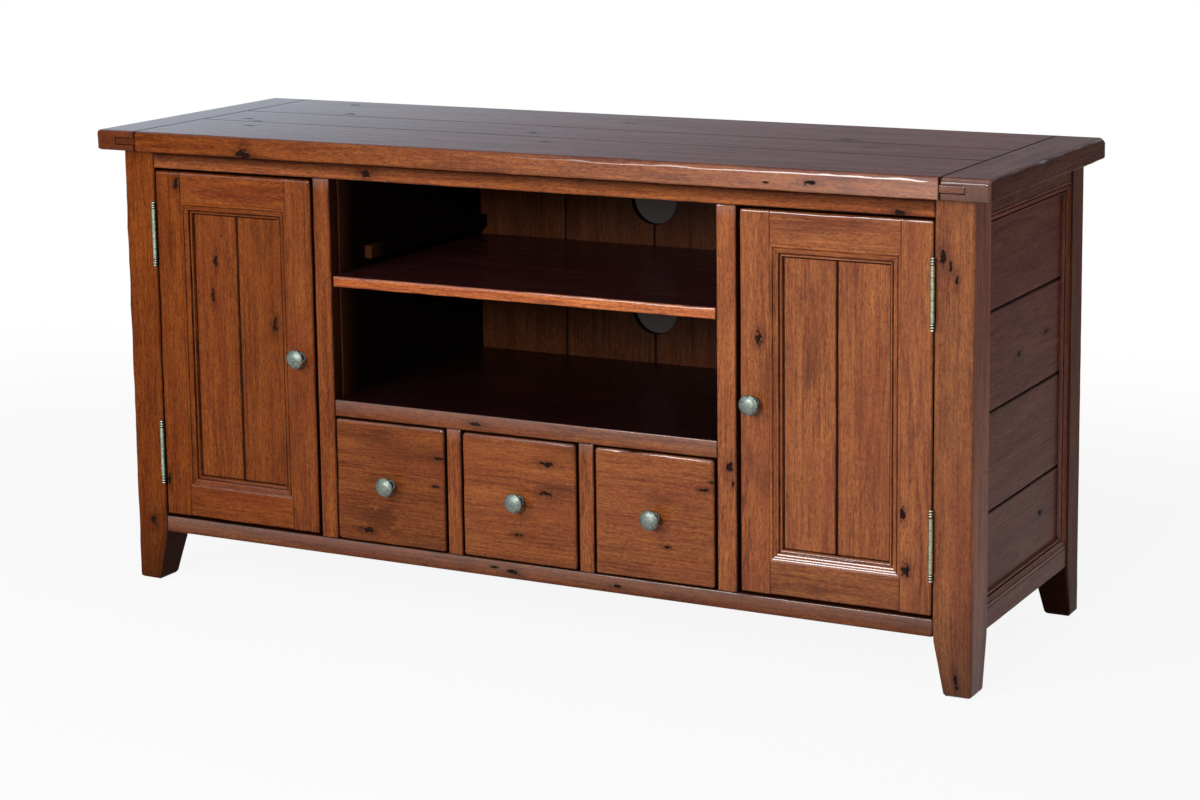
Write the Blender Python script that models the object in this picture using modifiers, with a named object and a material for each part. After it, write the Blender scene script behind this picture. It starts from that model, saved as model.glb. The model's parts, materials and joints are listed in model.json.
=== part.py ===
"""A distressed pine media console, put together the way a joiner would build it.

Two panelled doors hang on ball-tipped butt hinges, three drawers slide under an open niche, and a loose
shelf lies on cleats in the niche. Metres, +Z up, and the front faces -Y. The origin is on the floor, in
the middle of the console's outline. Sizes along Y are counted back from the front face of the frame.
"""

from math import cos, pi, sin

import bmesh
import bpy
from mathutils import Matrix, Vector

# Gap left between two pieces that touch
FIT = 0.0003

# Table top: lengthwise boards with a cross board on a tongue at each end
TOP_WIDTH = 1.350
TOP_DEPTH = 0.450
TOP_THICKNESS = 0.029
HEIGHT = 0.664
SIDE_OVERHANG = 0.030
FRONT_OVERHANG = 0.025
END_BOARD_WIDTH = 0.067
TONGUE_LENGTH = 0.032
TONGUE_THICKNESS = 0.010
TONGUE_SETBACK = 0.0005
FRONT_BOARD_WIDTH = 0.166
MIDDLE_BOARD_WIDTH = 0.113
TOP_ROUNDING = 0.006
UNDER_ROUNDING = 0.004

# Corner posts, which taper into the feet
POST_WIDTH = 0.052
FRONT_POST_DEPTH = 0.058
REAR_POST_DEPTH = 0.048
FOOT_HEIGHT = 0.0755
FOOT_TAPER = 0.016

# Front frame
FRAME_THICKNESS = 0.022
BOTTOM_RAIL_HEIGHT = 0.023
TOP_RAIL_HEIGHT = 0.025
STILE_WIDTH = 0.0285
DOOR_OPENING_WIDTH = 0.2695
DRAWER_OPENING_HEIGHT = 0.1775
DIVIDER_WIDTH = 0.024

# Side frames: rails between the posts, a boarded panel and a planted moulding
SIDE_RAIL_SETBACK = 0.002
SIDE_RAIL_THICKNESS = 0.025
SIDE_BOTTOM_RAIL_HEIGHT = 0.0275
SIDE_PANEL_RECESS = 0.0085
SIDE_PANEL_THICKNESS = 0.010
SIDE_BOARD_HEIGHT = 0.1297

# Inside boards and the planked back
PARTITION_THICKNESS = 0.018
NICHE_FLOOR_THICKNESS = 0.023
CABINET_FLOOR_THICKNESS = 0.016
BACK_THICKNESS = 0.012
BACK_INSET = 0.003
BACK_PLANKS = 8
CABLE_HOLE_DIAMETER = 0.075

# Loose shelf and the cleats that carry it
SHELF_THICKNESS = 0.016
SHELF_HEIGHT = 0.1595
SHELF_SETBACK = 0.001
SHELF_END_GAP = 0.002
CLEAT_WIDTH = 0.012
CLEAT_HEIGHT = 0.019
CLEAT_FRONT = 0.085

# Doors
DOOR_THICKNESS = 0.021
DOOR_LOCK_GAP = 0.0035
DOOR_TOP_GAP = 0.003
DOOR_BOTTOM_GAP = 0.0045
DOOR_STILE_WIDTH = 0.042
DOOR_RAIL_HEIGHT = 0.044
DOOR_PANEL_RECESS = 0.009
DOOR_PANEL_THICKNESS = 0.009

# Moulding planted round the panels: a flat fillet, an ogee slope and a bead beside the panel
MOULDING_WIDTH = 0.016
FILLET_WIDTH = 0.002
BEAD_WIDTH = 0.004
BEAD_HEIGHT = 0.0045
QUIRK_HEIGHT = 0.002
OGEE_STEPS = 5
BEAD_STEPS = 4

# Drawers
DRAWER_GAP = 0.0022
DRAWER_PROUD = 0.0015
DRAWER_FRONT_THICKNESS = 0.020
DRAWER_SIDE_GAP = 0.002
DRAWER_TOP_GAP = 0.030
DRAWER_BACK_GAP = 0.030
DRAWER_WALL = 0.010
DRAWER_BOTTOM = 0.006

# Knobs, turned, with a domed head on a waisted neck
KNOB_DIAMETER = 0.026
KNOB_PROJECTION = 0.023
KNOB_DOME_LENGTH = 0.007
KNOB_RIM_LENGTH = 0.003
KNOB_FLARE_LENGTH = 0.003
KNOB_NECK_DIAMETER = 0.011
KNOB_FOOT_DIAMETER = 0.016
KNOB_FOOT_LENGTH = 0.003
KNOB_EASING = 0.001
KNOB_DOME_STEPS = 5
KNOB_STEPS = 20

# Butt hinges with a proud barrel and ball tips
HINGE_LENGTH = 0.076
HINGE_FROM_DOOR_END = 0.054
BARREL_DIAMETER = 0.008
PIN_DIAMETER = 0.0032
LEAF_THICKNESS = 0.0006
LEAF_DEPTH = 0.018
KNUCKLES = 5
BALL_DIAMETER = 0.0066
TIP_NECK_DIAMETER = 0.0036
TIP_NECK_LENGTH = 0.0025
BALL_STEPS = 4
BARREL_STEPS = 12

# Seams between the boards of a top, panel or back, and the eased edges of every board
SEAM_WIDTH = 0.003
SEAM_DEPTH = 0.003
TOP_SEAM_WIDTH = 0.0016
TOP_SEAM_DEPTH = 0.0016
EDGE_EASING = 0.0012
PANEL_EASING = 0.0004
CUT_MARGIN = 0.005
HOLE_STEPS = 32

# Places worked out from the sizes above
CASE_HALF = TOP_WIDTH / 2 - SIDE_OVERHANG
CASE_DEPTH = TOP_DEPTH - FRONT_OVERHANG
TOP_UNDERSIDE = HEIGHT - TOP_THICKNESS
END_BOARD_INNER = TOP_WIDTH / 2 - END_BOARD_WIDTH
POST_INNER = CASE_HALF - POST_WIDTH
REAR_POST_FRONT = CASE_DEPTH - REAR_POST_DEPTH
STILE_OUTER = POST_INNER - DOOR_OPENING_WIDTH
STILE_INNER = STILE_OUTER - STILE_WIDTH
OPENING_BOTTOM = FOOT_HEIGHT + BOTTOM_RAIL_HEIGHT
OPENING_TOP = TOP_UNDERSIDE - TOP_RAIL_HEIGHT
DRAWER_OPENING_TOP = OPENING_BOTTOM + DRAWER_OPENING_HEIGHT
NICHE_BOTTOM = DRAWER_OPENING_TOP + NICHE_FLOOR_THICKNESS
BACK_FACE = CASE_DEPTH - BACK_INSET
BACK_FRONT = BACK_FACE - BACK_THICKNESS
SHELF_UNDERSIDE = NICHE_BOTTOM + SHELF_HEIGHT
SHELF_TOP = SHELF_UNDERSIDE + SHELF_THICKNESS
DRAWER_OPENING_WIDTH = (2 * STILE_INNER - 2 * DIVIDER_WIDTH) / 3
DRAWER_PITCH = DRAWER_OPENING_WIDTH + DIVIDER_WIDTH
SIDE_RAIL_OUTER = CASE_HALF - SIDE_RAIL_SETBACK
SIDE_RAIL_INNER = SIDE_RAIL_OUTER - SIDE_RAIL_THICKNESS
SIDE_PANEL_OUTER = SIDE_RAIL_OUTER - SIDE_PANEL_RECESS
SIDE_OPENING_BOTTOM = FOOT_HEIGHT + SIDE_BOTTOM_RAIL_HEIGHT
HINGE_GAP = 2 * LEAF_THICKNESS + 3 * FIT
HINGE_X = POST_INNER - HINGE_GAP / 2
HINGE_Y = -(BARREL_DIAMETER / 2 + FIT)
DOOR_HINGE_EDGE = POST_INNER - HINGE_GAP
DOOR_LOCK_EDGE = STILE_OUTER + DOOR_LOCK_GAP
DOOR_BOTTOM = OPENING_BOTTOM + DOOR_BOTTOM_GAP
DOOR_TOP = OPENING_TOP - DOOR_TOP_GAP
FRONT_REACH = max(FRONT_OVERHANG, KNOB_PROJECTION + FIT + DRAWER_PROUD)
ORIGIN_SHIFT = (FRONT_REACH - CASE_DEPTH) / 2

SIDES = {"left": -1, "right": 1}


def clear_scene():
    """Remove what the file opens with."""
    for item in list(bpy.data.objects):
        bpy.data.objects.remove(item, do_unlink=True)


def new_collection(name):
    collection = bpy.data.collections.new(name)
    bpy.context.scene.collection.children.link(collection)
    return collection


def finish(name, colour, roughness, metallic=0.0):
    """A plain Principled material."""
    material = bpy.data.materials.new(name)
    material.use_nodes = True
    shader = material.node_tree.nodes["Principled BSDF"]
    shader.inputs["Base Color"].default_value = (*colour, 1.0)
    shader.inputs["Roughness"].default_value = roughness
    shader.inputs["Metallic"].default_value = metallic
    return material


clear_scene()
PARTS = new_collection("media_console")
CUTTERS = new_collection("media_console_cutters")

PINE_FRONT = finish("pine_front", (0.23, 0.075, 0.025), 0.35)
PINE_TOP = finish("pine_top", (0.10, 0.040, 0.024), 0.30)
PINE_SIDE = finish("pine_side", (0.12, 0.045, 0.025), 0.38)
PINE_INSIDE = finish("pine_inside", (0.07, 0.022, 0.010), 0.45)
PEWTER = finish("pewter", (0.30, 0.29, 0.24), 0.38, 1.0)


def place(item, spot, parent):
    """Set an item under its parent, at a spot counted from the console's own zero."""
    item.parent = parent
    item.location = Vector(spot) - (parent.location if parent.parent else Vector())


def guide(name, spot, parent=None):
    """An empty that carries other pieces, on a joint's axis where they move."""
    item = bpy.data.objects.new(name, None)
    PARTS.objects.link(item)
    if parent:
        place(item, spot, parent)
    else:
        item.location = spot
    return item


CONSOLE = guide("console_zero", (0.0, ORIGIN_SHIFT, 0.0))


def add_piece(name, form, spot, material, parent=CONSOLE):
    """Turn a finished form into a named piece of the console."""
    mesh = bpy.data.meshes.new(name)
    form.to_mesh(mesh)
    form.free()
    mesh.materials.append(material)
    piece = bpy.data.objects.new(name, mesh)
    PARTS.objects.link(piece)
    place(piece, spot, parent)
    return piece


def add_cutter(name, form, spot=(0.0, 0.0, 0.0), parent=CONSOLE):
    """Turn a finished form into a hidden tool for a Boolean."""
    mesh = bpy.data.meshes.new(name)
    form.to_mesh(mesh)
    form.free()
    tool = bpy.data.objects.new(name, mesh)
    CUTTERS.objects.link(tool)
    tool.hide_render = True
    tool.display_type = "WIRE"
    place(tool, spot, parent)
    return tool


def combine(piece, tool, operation="DIFFERENCE"):
    modifier = piece.modifiers.new(tool.name, "BOOLEAN")
    modifier.operation = operation
    modifier.solver = "EXACT"
    modifier.object = tool


def ease(piece, width, segments=1):
    """Take the sharpness off every edge."""
    modifier = piece.modifiers.new("eased edges", "BEVEL")
    modifier.width = width
    modifier.segments = segments
    modifier.limit_method = "ANGLE"


def ordered(first, second):
    """The low and high corners of the box between two opposite corners."""
    low = Vector(min(pair) for pair in zip(first, second))
    high = Vector(max(pair) for pair in zip(first, second))
    return low, high


def box_form(first, second, centre=(0.0, 0.0, 0.0), form=None):
    """A box between two opposite corners, counted from a centre."""
    low, high = ordered(first, second)
    form = form or bmesh.new()
    size = high - low
    middle = (low + high) / 2 - Vector(centre)
    bmesh.ops.create_cube(form, size=1.0, matrix=Matrix.Translation(middle) @ Matrix.Diagonal((*size, 1.0)))
    return form


def boxes_form(boxes):
    """Several separate boxes in one form."""
    form = bmesh.new()
    for first, second in boxes:
        box_form(first, second, form=form)
    return form


def board(name, first, second, material, parent=CONSOLE, easing=EDGE_EASING):
    """A squared board between two opposite corners, with eased edges and its origin in its middle."""
    low, high = ordered(first, second)
    middle = (low + high) / 2
    piece = add_piece(name, box_form(first, second, middle), middle, material, parent)
    if easing:
        ease(piece, easing)
    return piece


def turned(mesh_object, steps):
    """Spin a profile, which runs from top to bottom, round its own Z axis."""
    modifier = mesh_object.modifiers.new("turning", "SCREW")
    modifier.axis = "Z"
    modifier.steps = steps
    modifier.render_steps = steps
    modifier.use_merge_vertices = True
    modifier.merge_threshold = 0.00001
    modifier.use_smooth_shade = True


def profile_form(points):
    """A chain of edges through (radius, height) points."""
    form = bmesh.new()
    chain = [form.verts.new((radius, 0.0, height)) for radius, height in points]
    for here, there in zip(chain, chain[1:]):
        form.edges.new((here, there))
    return form


def moulding_profile(depth):
    """The moulding's closed section, as (distance in from its outer edge, height over the panel)."""
    points = [(0.0, 0.0), (0.0, depth), (FILLET_WIDTH, depth)]
    slope = MOULDING_WIDTH - FILLET_WIDTH - BEAD_WIDTH
    for step in range(1, OGEE_STEPS + 1):
        share = step / OGEE_STEPS
        drop = (depth - BEAD_HEIGHT) * (1 - cos(pi * share)) / 2
        points.append((FILLET_WIDTH + slope * share, depth - drop))
    points.append((MOULDING_WIDTH - BEAD_WIDTH, QUIRK_HEIGHT))
    for step in range(1, BEAD_STEPS + 1):
        turn = pi * step / BEAD_STEPS
        inward = MOULDING_WIDTH - BEAD_WIDTH / 2 - cos(turn) * BEAD_WIDTH / 2
        points.append((inward, QUIRK_HEIGHT + sin(turn) * (BEAD_HEIGHT - QUIRK_HEIGHT)))
    points.append((MOULDING_WIDTH, 0.0))
    return points


def moulding(name, width, height, depth, turn, spot, material, parent=CONSOLE):
    """A moulding mitred round a rectangle. It faces -Y before it is turned about Z."""
    form = bmesh.new()
    section = moulding_profile(depth)
    corners = []
    for across, upward in ((-1, -1), (1, -1), (1, 1), (-1, 1)):
        corners.append([
            form.verts.new((across * (width / 2 - inward), -raised, upward * (height / 2 - inward)))
            for inward, raised in section
        ])
    for here, there in zip(corners, corners[1:] + corners[:1]):
        for k in range(len(section)):
            n = (k + 1) % len(section)
            form.faces.new((here[k], there[k], there[n], here[n]))
    bmesh.ops.recalc_face_normals(form, faces=form.faces[:])
    piece = add_piece(name, form, spot, material, parent)
    piece.rotation_euler.z = turn
    return piece


def knob(name, spot, parent):
    """A turned knob whose foot rests on the surface at the spot and whose head faces -Y."""
    head, neck, foot = KNOB_DIAMETER / 2, KNOB_NECK_DIAMETER / 2, KNOB_FOOT_DIAMETER / 2
    rim_top = KNOB_PROJECTION - KNOB_DOME_LENGTH
    rim_bottom = rim_top - KNOB_RIM_LENGTH
    points = []
    for step in range(KNOB_DOME_STEPS + 1):
        turn = pi / 2 * step / KNOB_DOME_STEPS
        points.append((head * sin(turn), rim_top + KNOB_DOME_LENGTH * cos(turn)))
    points.append((head, rim_bottom + KNOB_EASING))
    points.append((head - KNOB_EASING, rim_bottom))
    points.append((neck, rim_bottom - KNOB_FLARE_LENGTH))
    points.append((neck, KNOB_FOOT_LENGTH + KNOB_FLARE_LENGTH))
    points.append((foot - KNOB_EASING, KNOB_FOOT_LENGTH))
    points.append((foot, KNOB_FOOT_LENGTH - KNOB_EASING))
    points.append((foot, 0.0))
    points.append((0.0, 0.0))
    piece = add_piece(name, profile_form(points), Vector(spot) - Vector((0.0, FIT, 0.0)), PEWTER, parent)
    piece.rotation_euler.x = pi / 2
    turned(piece, KNOB_STEPS)
    return piece


def post(name, side, front, back, inner_way):
    """A corner post whose two inner faces draw in below the rails to make the foot."""
    inner, outer = side * POST_INNER, side * CASE_HALF
    middle = Vector(((inner + outer) / 2, (front + back) / 2, 0.0))
    form = box_form((inner, front, 0.0), (outer, back, TOP_UNDERSIDE - FIT), middle)
    everything = form.verts[:] + form.edges[:] + form.faces[:]
    bmesh.ops.bisect_plane(form, geom=everything, plane_co=(0.0, 0.0, FOOT_HEIGHT), plane_no=(0.0, 0.0, 1.0))
    for vertex in form.verts:
        if vertex.co.z < FOOT_HEIGHT / 2:
            if vertex.co.x * side < 0.0:
                vertex.co.x += side * FOOT_TAPER
            if vertex.co.y * inner_way > 0.0:
                vertex.co.y -= inner_way * FOOT_TAPER
    piece = add_piece(name, form, middle, PINE_FRONT)
    ease(piece, EDGE_EASING)


def build_posts_and_front_frame():
    for hand, side in SIDES.items():
        post(f"front_post_{hand}", side, 0.0, FRONT_POST_DEPTH, 1)
        post(f"rear_post_{hand}", side, REAR_POST_FRONT, CASE_DEPTH, -1)
        board(f"front_stile_{hand}",
              (side * STILE_INNER, 0.0, OPENING_BOTTOM + FIT),
              (side * STILE_OUTER, FRAME_THICKNESS, OPENING_TOP - FIT), PINE_FRONT)
    reach = POST_INNER - FIT
    board("front_top_rail", (-reach, 0.0, OPENING_TOP),
          (reach, FRAME_THICKNESS, TOP_UNDERSIDE - FIT), PINE_FRONT)
    board("front_bottom_rail", (-reach, 0.0, FOOT_HEIGHT),
          (reach, FRAME_THICKNESS, OPENING_BOTTOM), PINE_FRONT)


def build_side(hand, side):
    """The rails, boarded panel and moulding between a front and a rear post."""
    front, back = FRONT_POST_DEPTH + FIT, REAR_POST_FRONT - FIT
    outer, inner = side * SIDE_RAIL_OUTER, side * SIDE_RAIL_INNER
    board(f"side_top_rail_{hand}", (inner, front, OPENING_TOP),
          (outer, back, TOP_UNDERSIDE - FIT), PINE_SIDE)
    board(f"side_bottom_rail_{hand}", (inner, front, FOOT_HEIGHT),
          (outer, back, SIDE_OPENING_BOTTOM), PINE_SIDE)

    bottom, top = SIDE_OPENING_BOTTOM + FIT, OPENING_TOP - FIT
    face = side * SIDE_PANEL_OUTER
    panel = board(f"side_panel_{hand}", (face - side * SIDE_PANEL_THICKNESS, front, bottom),
                  (face, back, top), PINE_SIDE, easing=PANEL_EASING)
    seams = []
    level = OPENING_TOP - SIDE_BOARD_HEIGHT
    while level > bottom + MOULDING_WIDTH:
        seams.append((
            (face - side * SEAM_DEPTH, front - CUT_MARGIN, level - SEAM_WIDTH / 2),
            (face + side * CUT_MARGIN, back + CUT_MARGIN, level + SEAM_WIDTH / 2),
        ))
        level -= SIDE_BOARD_HEIGHT
    combine(panel, add_cutter(f"side_seams_{hand}", boxes_form(seams)))

    moulding(f"side_moulding_{hand}", back - front, top - bottom, SIDE_PANEL_RECESS - FIT, side * pi / 2,
             (face + side * FIT, (front + back) / 2, (bottom + top) / 2), PINE_SIDE)


def build_inside():
    """The boards behind the front frame, and the planked back."""
    back = BACK_FRONT - FIT
    behind_frame = FRAME_THICKNESS + FIT
    for hand, side in SIDES.items():
        board(f"partition_{hand}", (side * STILE_INNER, behind_frame, OPENING_BOTTOM + FIT),
              (side * (STILE_INNER + PARTITION_THICKNESS), back, TOP_UNDERSIDE - FIT), PINE_INSIDE)
        edge = side * DRAWER_OPENING_WIDTH / 2
        board(f"drawer_divider_{hand}", (edge, 0.0, OPENING_BOTTOM + FIT),
              (edge + side * DIVIDER_WIDTH, back, DRAWER_OPENING_TOP - FIT), PINE_FRONT)
    reach = STILE_INNER - FIT
    board("niche_floor", (-reach, 0.0, DRAWER_OPENING_TOP), (reach, back, NICHE_BOTTOM), PINE_INSIDE)

    reach = SIDE_RAIL_INNER - FIT
    floor = board("cabinet_floor", (-reach, behind_frame, OPENING_BOTTOM - CABINET_FLOOR_THICKNESS),
                  (reach, back, OPENING_BOTTOM), PINE_INSIDE, easing=0.0)
    notches = []
    for side in SIDES.values():
        inner, outer = side * (POST_INNER - FIT), side * CASE_HALF
        low, high = FOOT_HEIGHT - CABINET_FLOOR_THICKNESS, OPENING_BOTTOM + CUT_MARGIN
        notches.append(((inner, -CUT_MARGIN, low), (outer, FRONT_POST_DEPTH + FIT, high)))
        notches.append(((inner, REAR_POST_FRONT - FIT, low), (outer, CASE_DEPTH + CUT_MARGIN, high)))
    combine(floor, add_cutter("cabinet_floor_notches", boxes_form(notches)))


def build_back():
    """Upright planks as one panel, with a cable hole behind each half of the niche."""
    reach = POST_INNER - FIT
    bottom, top = FOOT_HEIGHT, TOP_UNDERSIDE - FIT
    panel = board("back_panel", (-reach, BACK_FRONT, bottom), (reach, BACK_FACE, top), PINE_INSIDE, easing=0.0)
    seams = []
    for count in range(1, BACK_PLANKS):
        across = -reach + 2 * reach * count / BACK_PLANKS
        for inner, outer in ((BACK_FRONT + SEAM_DEPTH, BACK_FRONT - CUT_MARGIN),
                             (BACK_FACE - SEAM_DEPTH, BACK_FACE + CUT_MARGIN)):
            seams.append(((across - SEAM_WIDTH / 2, inner, bottom - CUT_MARGIN),
                          (across + SEAM_WIDTH / 2, outer, top + CUT_MARGIN)))
    combine(panel, add_cutter("back_seams", boxes_form(seams)))

    levels = {"lower": (NICHE_BOTTOM + SHELF_UNDERSIDE) / 2, "upper": (SHELF_TOP + OPENING_TOP) / 2}
    for name, level in levels.items():
        form = bmesh.new()
        bmesh.ops.create_cone(form, cap_ends=True, segments=HOLE_STEPS, radius1=CABLE_HOLE_DIAMETER / 2,
                              radius2=CABLE_HOLE_DIAMETER / 2, depth=BACK_THICKNESS + 2 * CUT_MARGIN,
                              matrix=Matrix.Rotation(pi / 2, 4, "X"))
        spot = (0.0, (BACK_FRONT + BACK_FACE) / 2, level)
        combine(panel, add_cutter(f"cable_hole_{name}", form, spot))


def build_top():
    """Lengthwise boards tongued into a cross board at each end."""
    front, back = -FRONT_OVERHANG, CASE_DEPTH
    reach = END_BOARD_INNER - FIT
    top = board("table_top", (-reach, front, TOP_UNDERSIDE), (reach, back, HEIGHT), PINE_TOP, easing=0.0)
    round_top_edges(top, lambda ends: ends[0].y * ends[1].y > 0.0 and ends[0].z * ends[1].z > 0.0)

    middle = (TOP_UNDERSIDE + HEIGHT) / 2
    tongue_reach = END_BOARD_INNER + TONGUE_LENGTH
    tongue = box_form((-tongue_reach, front + TONGUE_SETBACK, middle - TONGUE_THICKNESS / 2),
                      (tongue_reach, back - TONGUE_SETBACK, middle + TONGUE_THICKNESS / 2))
    combine(top, add_cutter("tongue", tongue), "UNION")

    seams = []
    for across in (front + FRONT_BOARD_WIDTH, front + FRONT_BOARD_WIDTH + MIDDLE_BOARD_WIDTH):
        seams.append(((-reach - CUT_MARGIN, across - TOP_SEAM_WIDTH / 2, HEIGHT - TOP_SEAM_DEPTH),
                      (reach + CUT_MARGIN, across + TOP_SEAM_WIDTH / 2, HEIGHT + CUT_MARGIN)))
    combine(top, add_cutter("top_seams", boxes_form(seams)))

    slot = TONGUE_THICKNESS / 2 + FIT
    for hand, side in SIDES.items():
        end = board(f"breadboard_end_{hand}", (side * END_BOARD_INNER, front, TOP_UNDERSIDE),
                    (side * TOP_WIDTH / 2, back, HEIGHT), PINE_TOP, easing=0.0)
        round_top_edges(end, lambda ends: ends[0].x * side > 0.0 or ends[1].x * side > 0.0)
        groove = box_form((side * (END_BOARD_INNER - CUT_MARGIN), front - CUT_MARGIN, middle - slot),
                          (side * (tongue_reach + FIT), back + CUT_MARGIN, middle + slot))
        combine(end, add_cutter(f"tongue_groove_{hand}", groove))


def round_top_edges(piece, shows):
    """Round the edges of a top board that show, more above than below, and ease the rest."""
    mesh = piece.data
    weights = mesh.attributes.new("bevel_weight_edge", "FLOAT", "EDGE")
    for edge in mesh.edges:
        ends = [mesh.vertices[k].co for k in edge.vertices]
        if not shows(ends):
            rounding = EDGE_EASING
        elif all(point.z > 0.0 for point in ends):
            rounding = TOP_ROUNDING
        else:
            rounding = UNDER_ROUNDING
        weights.data[edge.index].value = rounding / TOP_ROUNDING
    modifier = piece.modifiers.new("rounded edges", "BEVEL")
    modifier.width = TOP_ROUNDING
    modifier.segments = 3
    modifier.limit_method = "WEIGHT"


def build_shelf():
    """A loose shelf in the niche, lying on a cleat at each end."""
    carrier = guide("niche_shelf_run", (0.0, 0.0, SHELF_UNDERSIDE), CONSOLE)
    reach = STILE_INNER - SHELF_END_GAP
    board("niche_shelf", (-reach, SHELF_SETBACK, SHELF_UNDERSIDE), (reach, BACK_FRONT - FIT, SHELF_TOP),
          PINE_INSIDE, carrier)
    for hand, side in SIDES.items():
        wall = side * (STILE_INNER - FIT)
        board(f"shelf_cleat_{hand}", (wall, CLEAT_FRONT, SHELF_UNDERSIDE - FIT - CLEAT_HEIGHT),
              (wall - side * CLEAT_WIDTH, BACK_FRONT - FIT, SHELF_UNDERSIDE - FIT), PINE_INSIDE)


def build_door(hand, side):
    """A framed door round a two-board panel, carried on its hinge axis."""
    axis = guide(f"{hand}_door_axis", (side * HINGE_X, HINGE_Y, 0.0), CONSOLE)
    hinge_edge, lock_edge = side * DOOR_HINGE_EDGE, side * DOOR_LOCK_EDGE
    hinge_inner = hinge_edge - side * DOOR_STILE_WIDTH
    lock_inner = lock_edge + side * DOOR_STILE_WIDTH
    board(f"{hand}_door_hinge_stile", (hinge_edge, 0.0, DOOR_BOTTOM),
          (hinge_inner, DOOR_THICKNESS, DOOR_TOP), PINE_FRONT, axis)
    board(f"{hand}_door_lock_stile", (lock_edge, 0.0, DOOR_BOTTOM),
          (lock_inner, DOOR_THICKNESS, DOOR_TOP), PINE_FRONT, axis)

    first, second = hinge_inner - side * FIT, lock_inner + side * FIT
    low, high = DOOR_BOTTOM + DOOR_RAIL_HEIGHT, DOOR_TOP - DOOR_RAIL_HEIGHT
    board(f"{hand}_door_top_rail", (first, 0.0, high), (second, DOOR_THICKNESS, DOOR_TOP), PINE_FRONT, axis)
    board(f"{hand}_door_bottom_rail", (first, 0.0, DOOR_BOTTOM), (second, DOOR_THICKNESS, low), PINE_FRONT, axis)

    low, high = low + FIT, high - FIT
    panel = board(f"{hand}_door_panel", (first, DOOR_PANEL_RECESS, low),
                  (second, DOOR_PANEL_RECESS + DOOR_PANEL_THICKNESS, high), PINE_FRONT, axis, PANEL_EASING)
    middle = (first + second) / 2
    seam = box_form((middle - SEAM_WIDTH / 2, DOOR_PANEL_RECESS - CUT_MARGIN, low - CUT_MARGIN),
                    (middle + SEAM_WIDTH / 2, DOOR_PANEL_RECESS + SEAM_DEPTH, high + CUT_MARGIN))
    combine(panel, add_cutter(f"{hand}_door_seam", seam))
    moulding(f"{hand}_door_moulding", abs(first - second), high - low, DOOR_PANEL_RECESS - FIT, 0.0,
             (middle, DOOR_PANEL_RECESS - FIT, (low + high) / 2), PINE_FRONT, axis)

    knob(f"{hand}_door_knob", ((lock_edge + lock_inner) / 2, 0.0, (DOOR_BOTTOM + DOOR_TOP) / 2), axis)
    build_hinge(f"{hand}_upper_hinge", side, DOOR_TOP - HINGE_FROM_DOOR_END - HINGE_LENGTH, axis)
    build_hinge(f"{hand}_lower_hinge", side, DOOR_BOTTOM + HINGE_FROM_DOOR_END, axis)


def knuckle_spans(foot, first):
    """Bottom and top of every second knuckle, counted from the hinge's foot."""
    pitch = HINGE_LENGTH / KNUCKLES
    return [(foot + k * pitch, foot + (k + 1) * pitch) for k in range(first, KNUCKLES, 2)]


def barrel_form():
    """Pin, post-side knuckles and ball tips as one turned profile, from the top down."""
    radius, pin, neck = BARREL_DIAMETER / 2, PIN_DIAMETER / 2, TIP_NECK_DIAMETER / 2
    ball = BALL_DIAMETER / 2
    tip = []
    for step in range(BALL_STEPS):
        turn = pi * step / BALL_STEPS
        tip.append((ball * sin(turn), ball + ball * cos(turn)))
    tip.append((neck, 0.0))
    top = HINGE_LENGTH + TIP_NECK_LENGTH
    points = [(across, top + level) for across, level in tip]
    spans = knuckle_spans(0.0, 0)
    for low, high in reversed(spans):
        if high < HINGE_LENGTH - FIT:
            points.append((pin, high - FIT))
            high -= FIT
        else:
            points.append((neck, high))
        points.append((radius, high))
        if low > FIT:
            low += FIT
        points.append((radius, low))
        points.append((pin if low > FIT else neck, low))
    points += [(across, -TIP_NECK_LENGTH - level) for across, level in reversed(tip)]
    return profile_form(points)


def tube_form(low, high, form):
    """A door-side knuckle, bored for the pin, added to a form."""
    made = []
    rim = [(BARREL_DIAMETER / 2, high), (BARREL_DIAMETER / 2, low),
           (PIN_DIAMETER / 2 + FIT, low), (PIN_DIAMETER / 2 + FIT, high)]
    for step in range(BARREL_STEPS):
        turn = Matrix.Rotation(2 * pi * step / BARREL_STEPS, 3, "Z")
        made.append([form.verts.new(turn @ Vector((radius, 0.0, level))) for radius, level in rim])
    for here, there in zip(made, made[1:] + made[:1]):
        for k in range(len(rim)):
            n = (k + 1) % len(rim)
            form.faces.new((here[k], there[k], there[n], here[n]))


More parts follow.
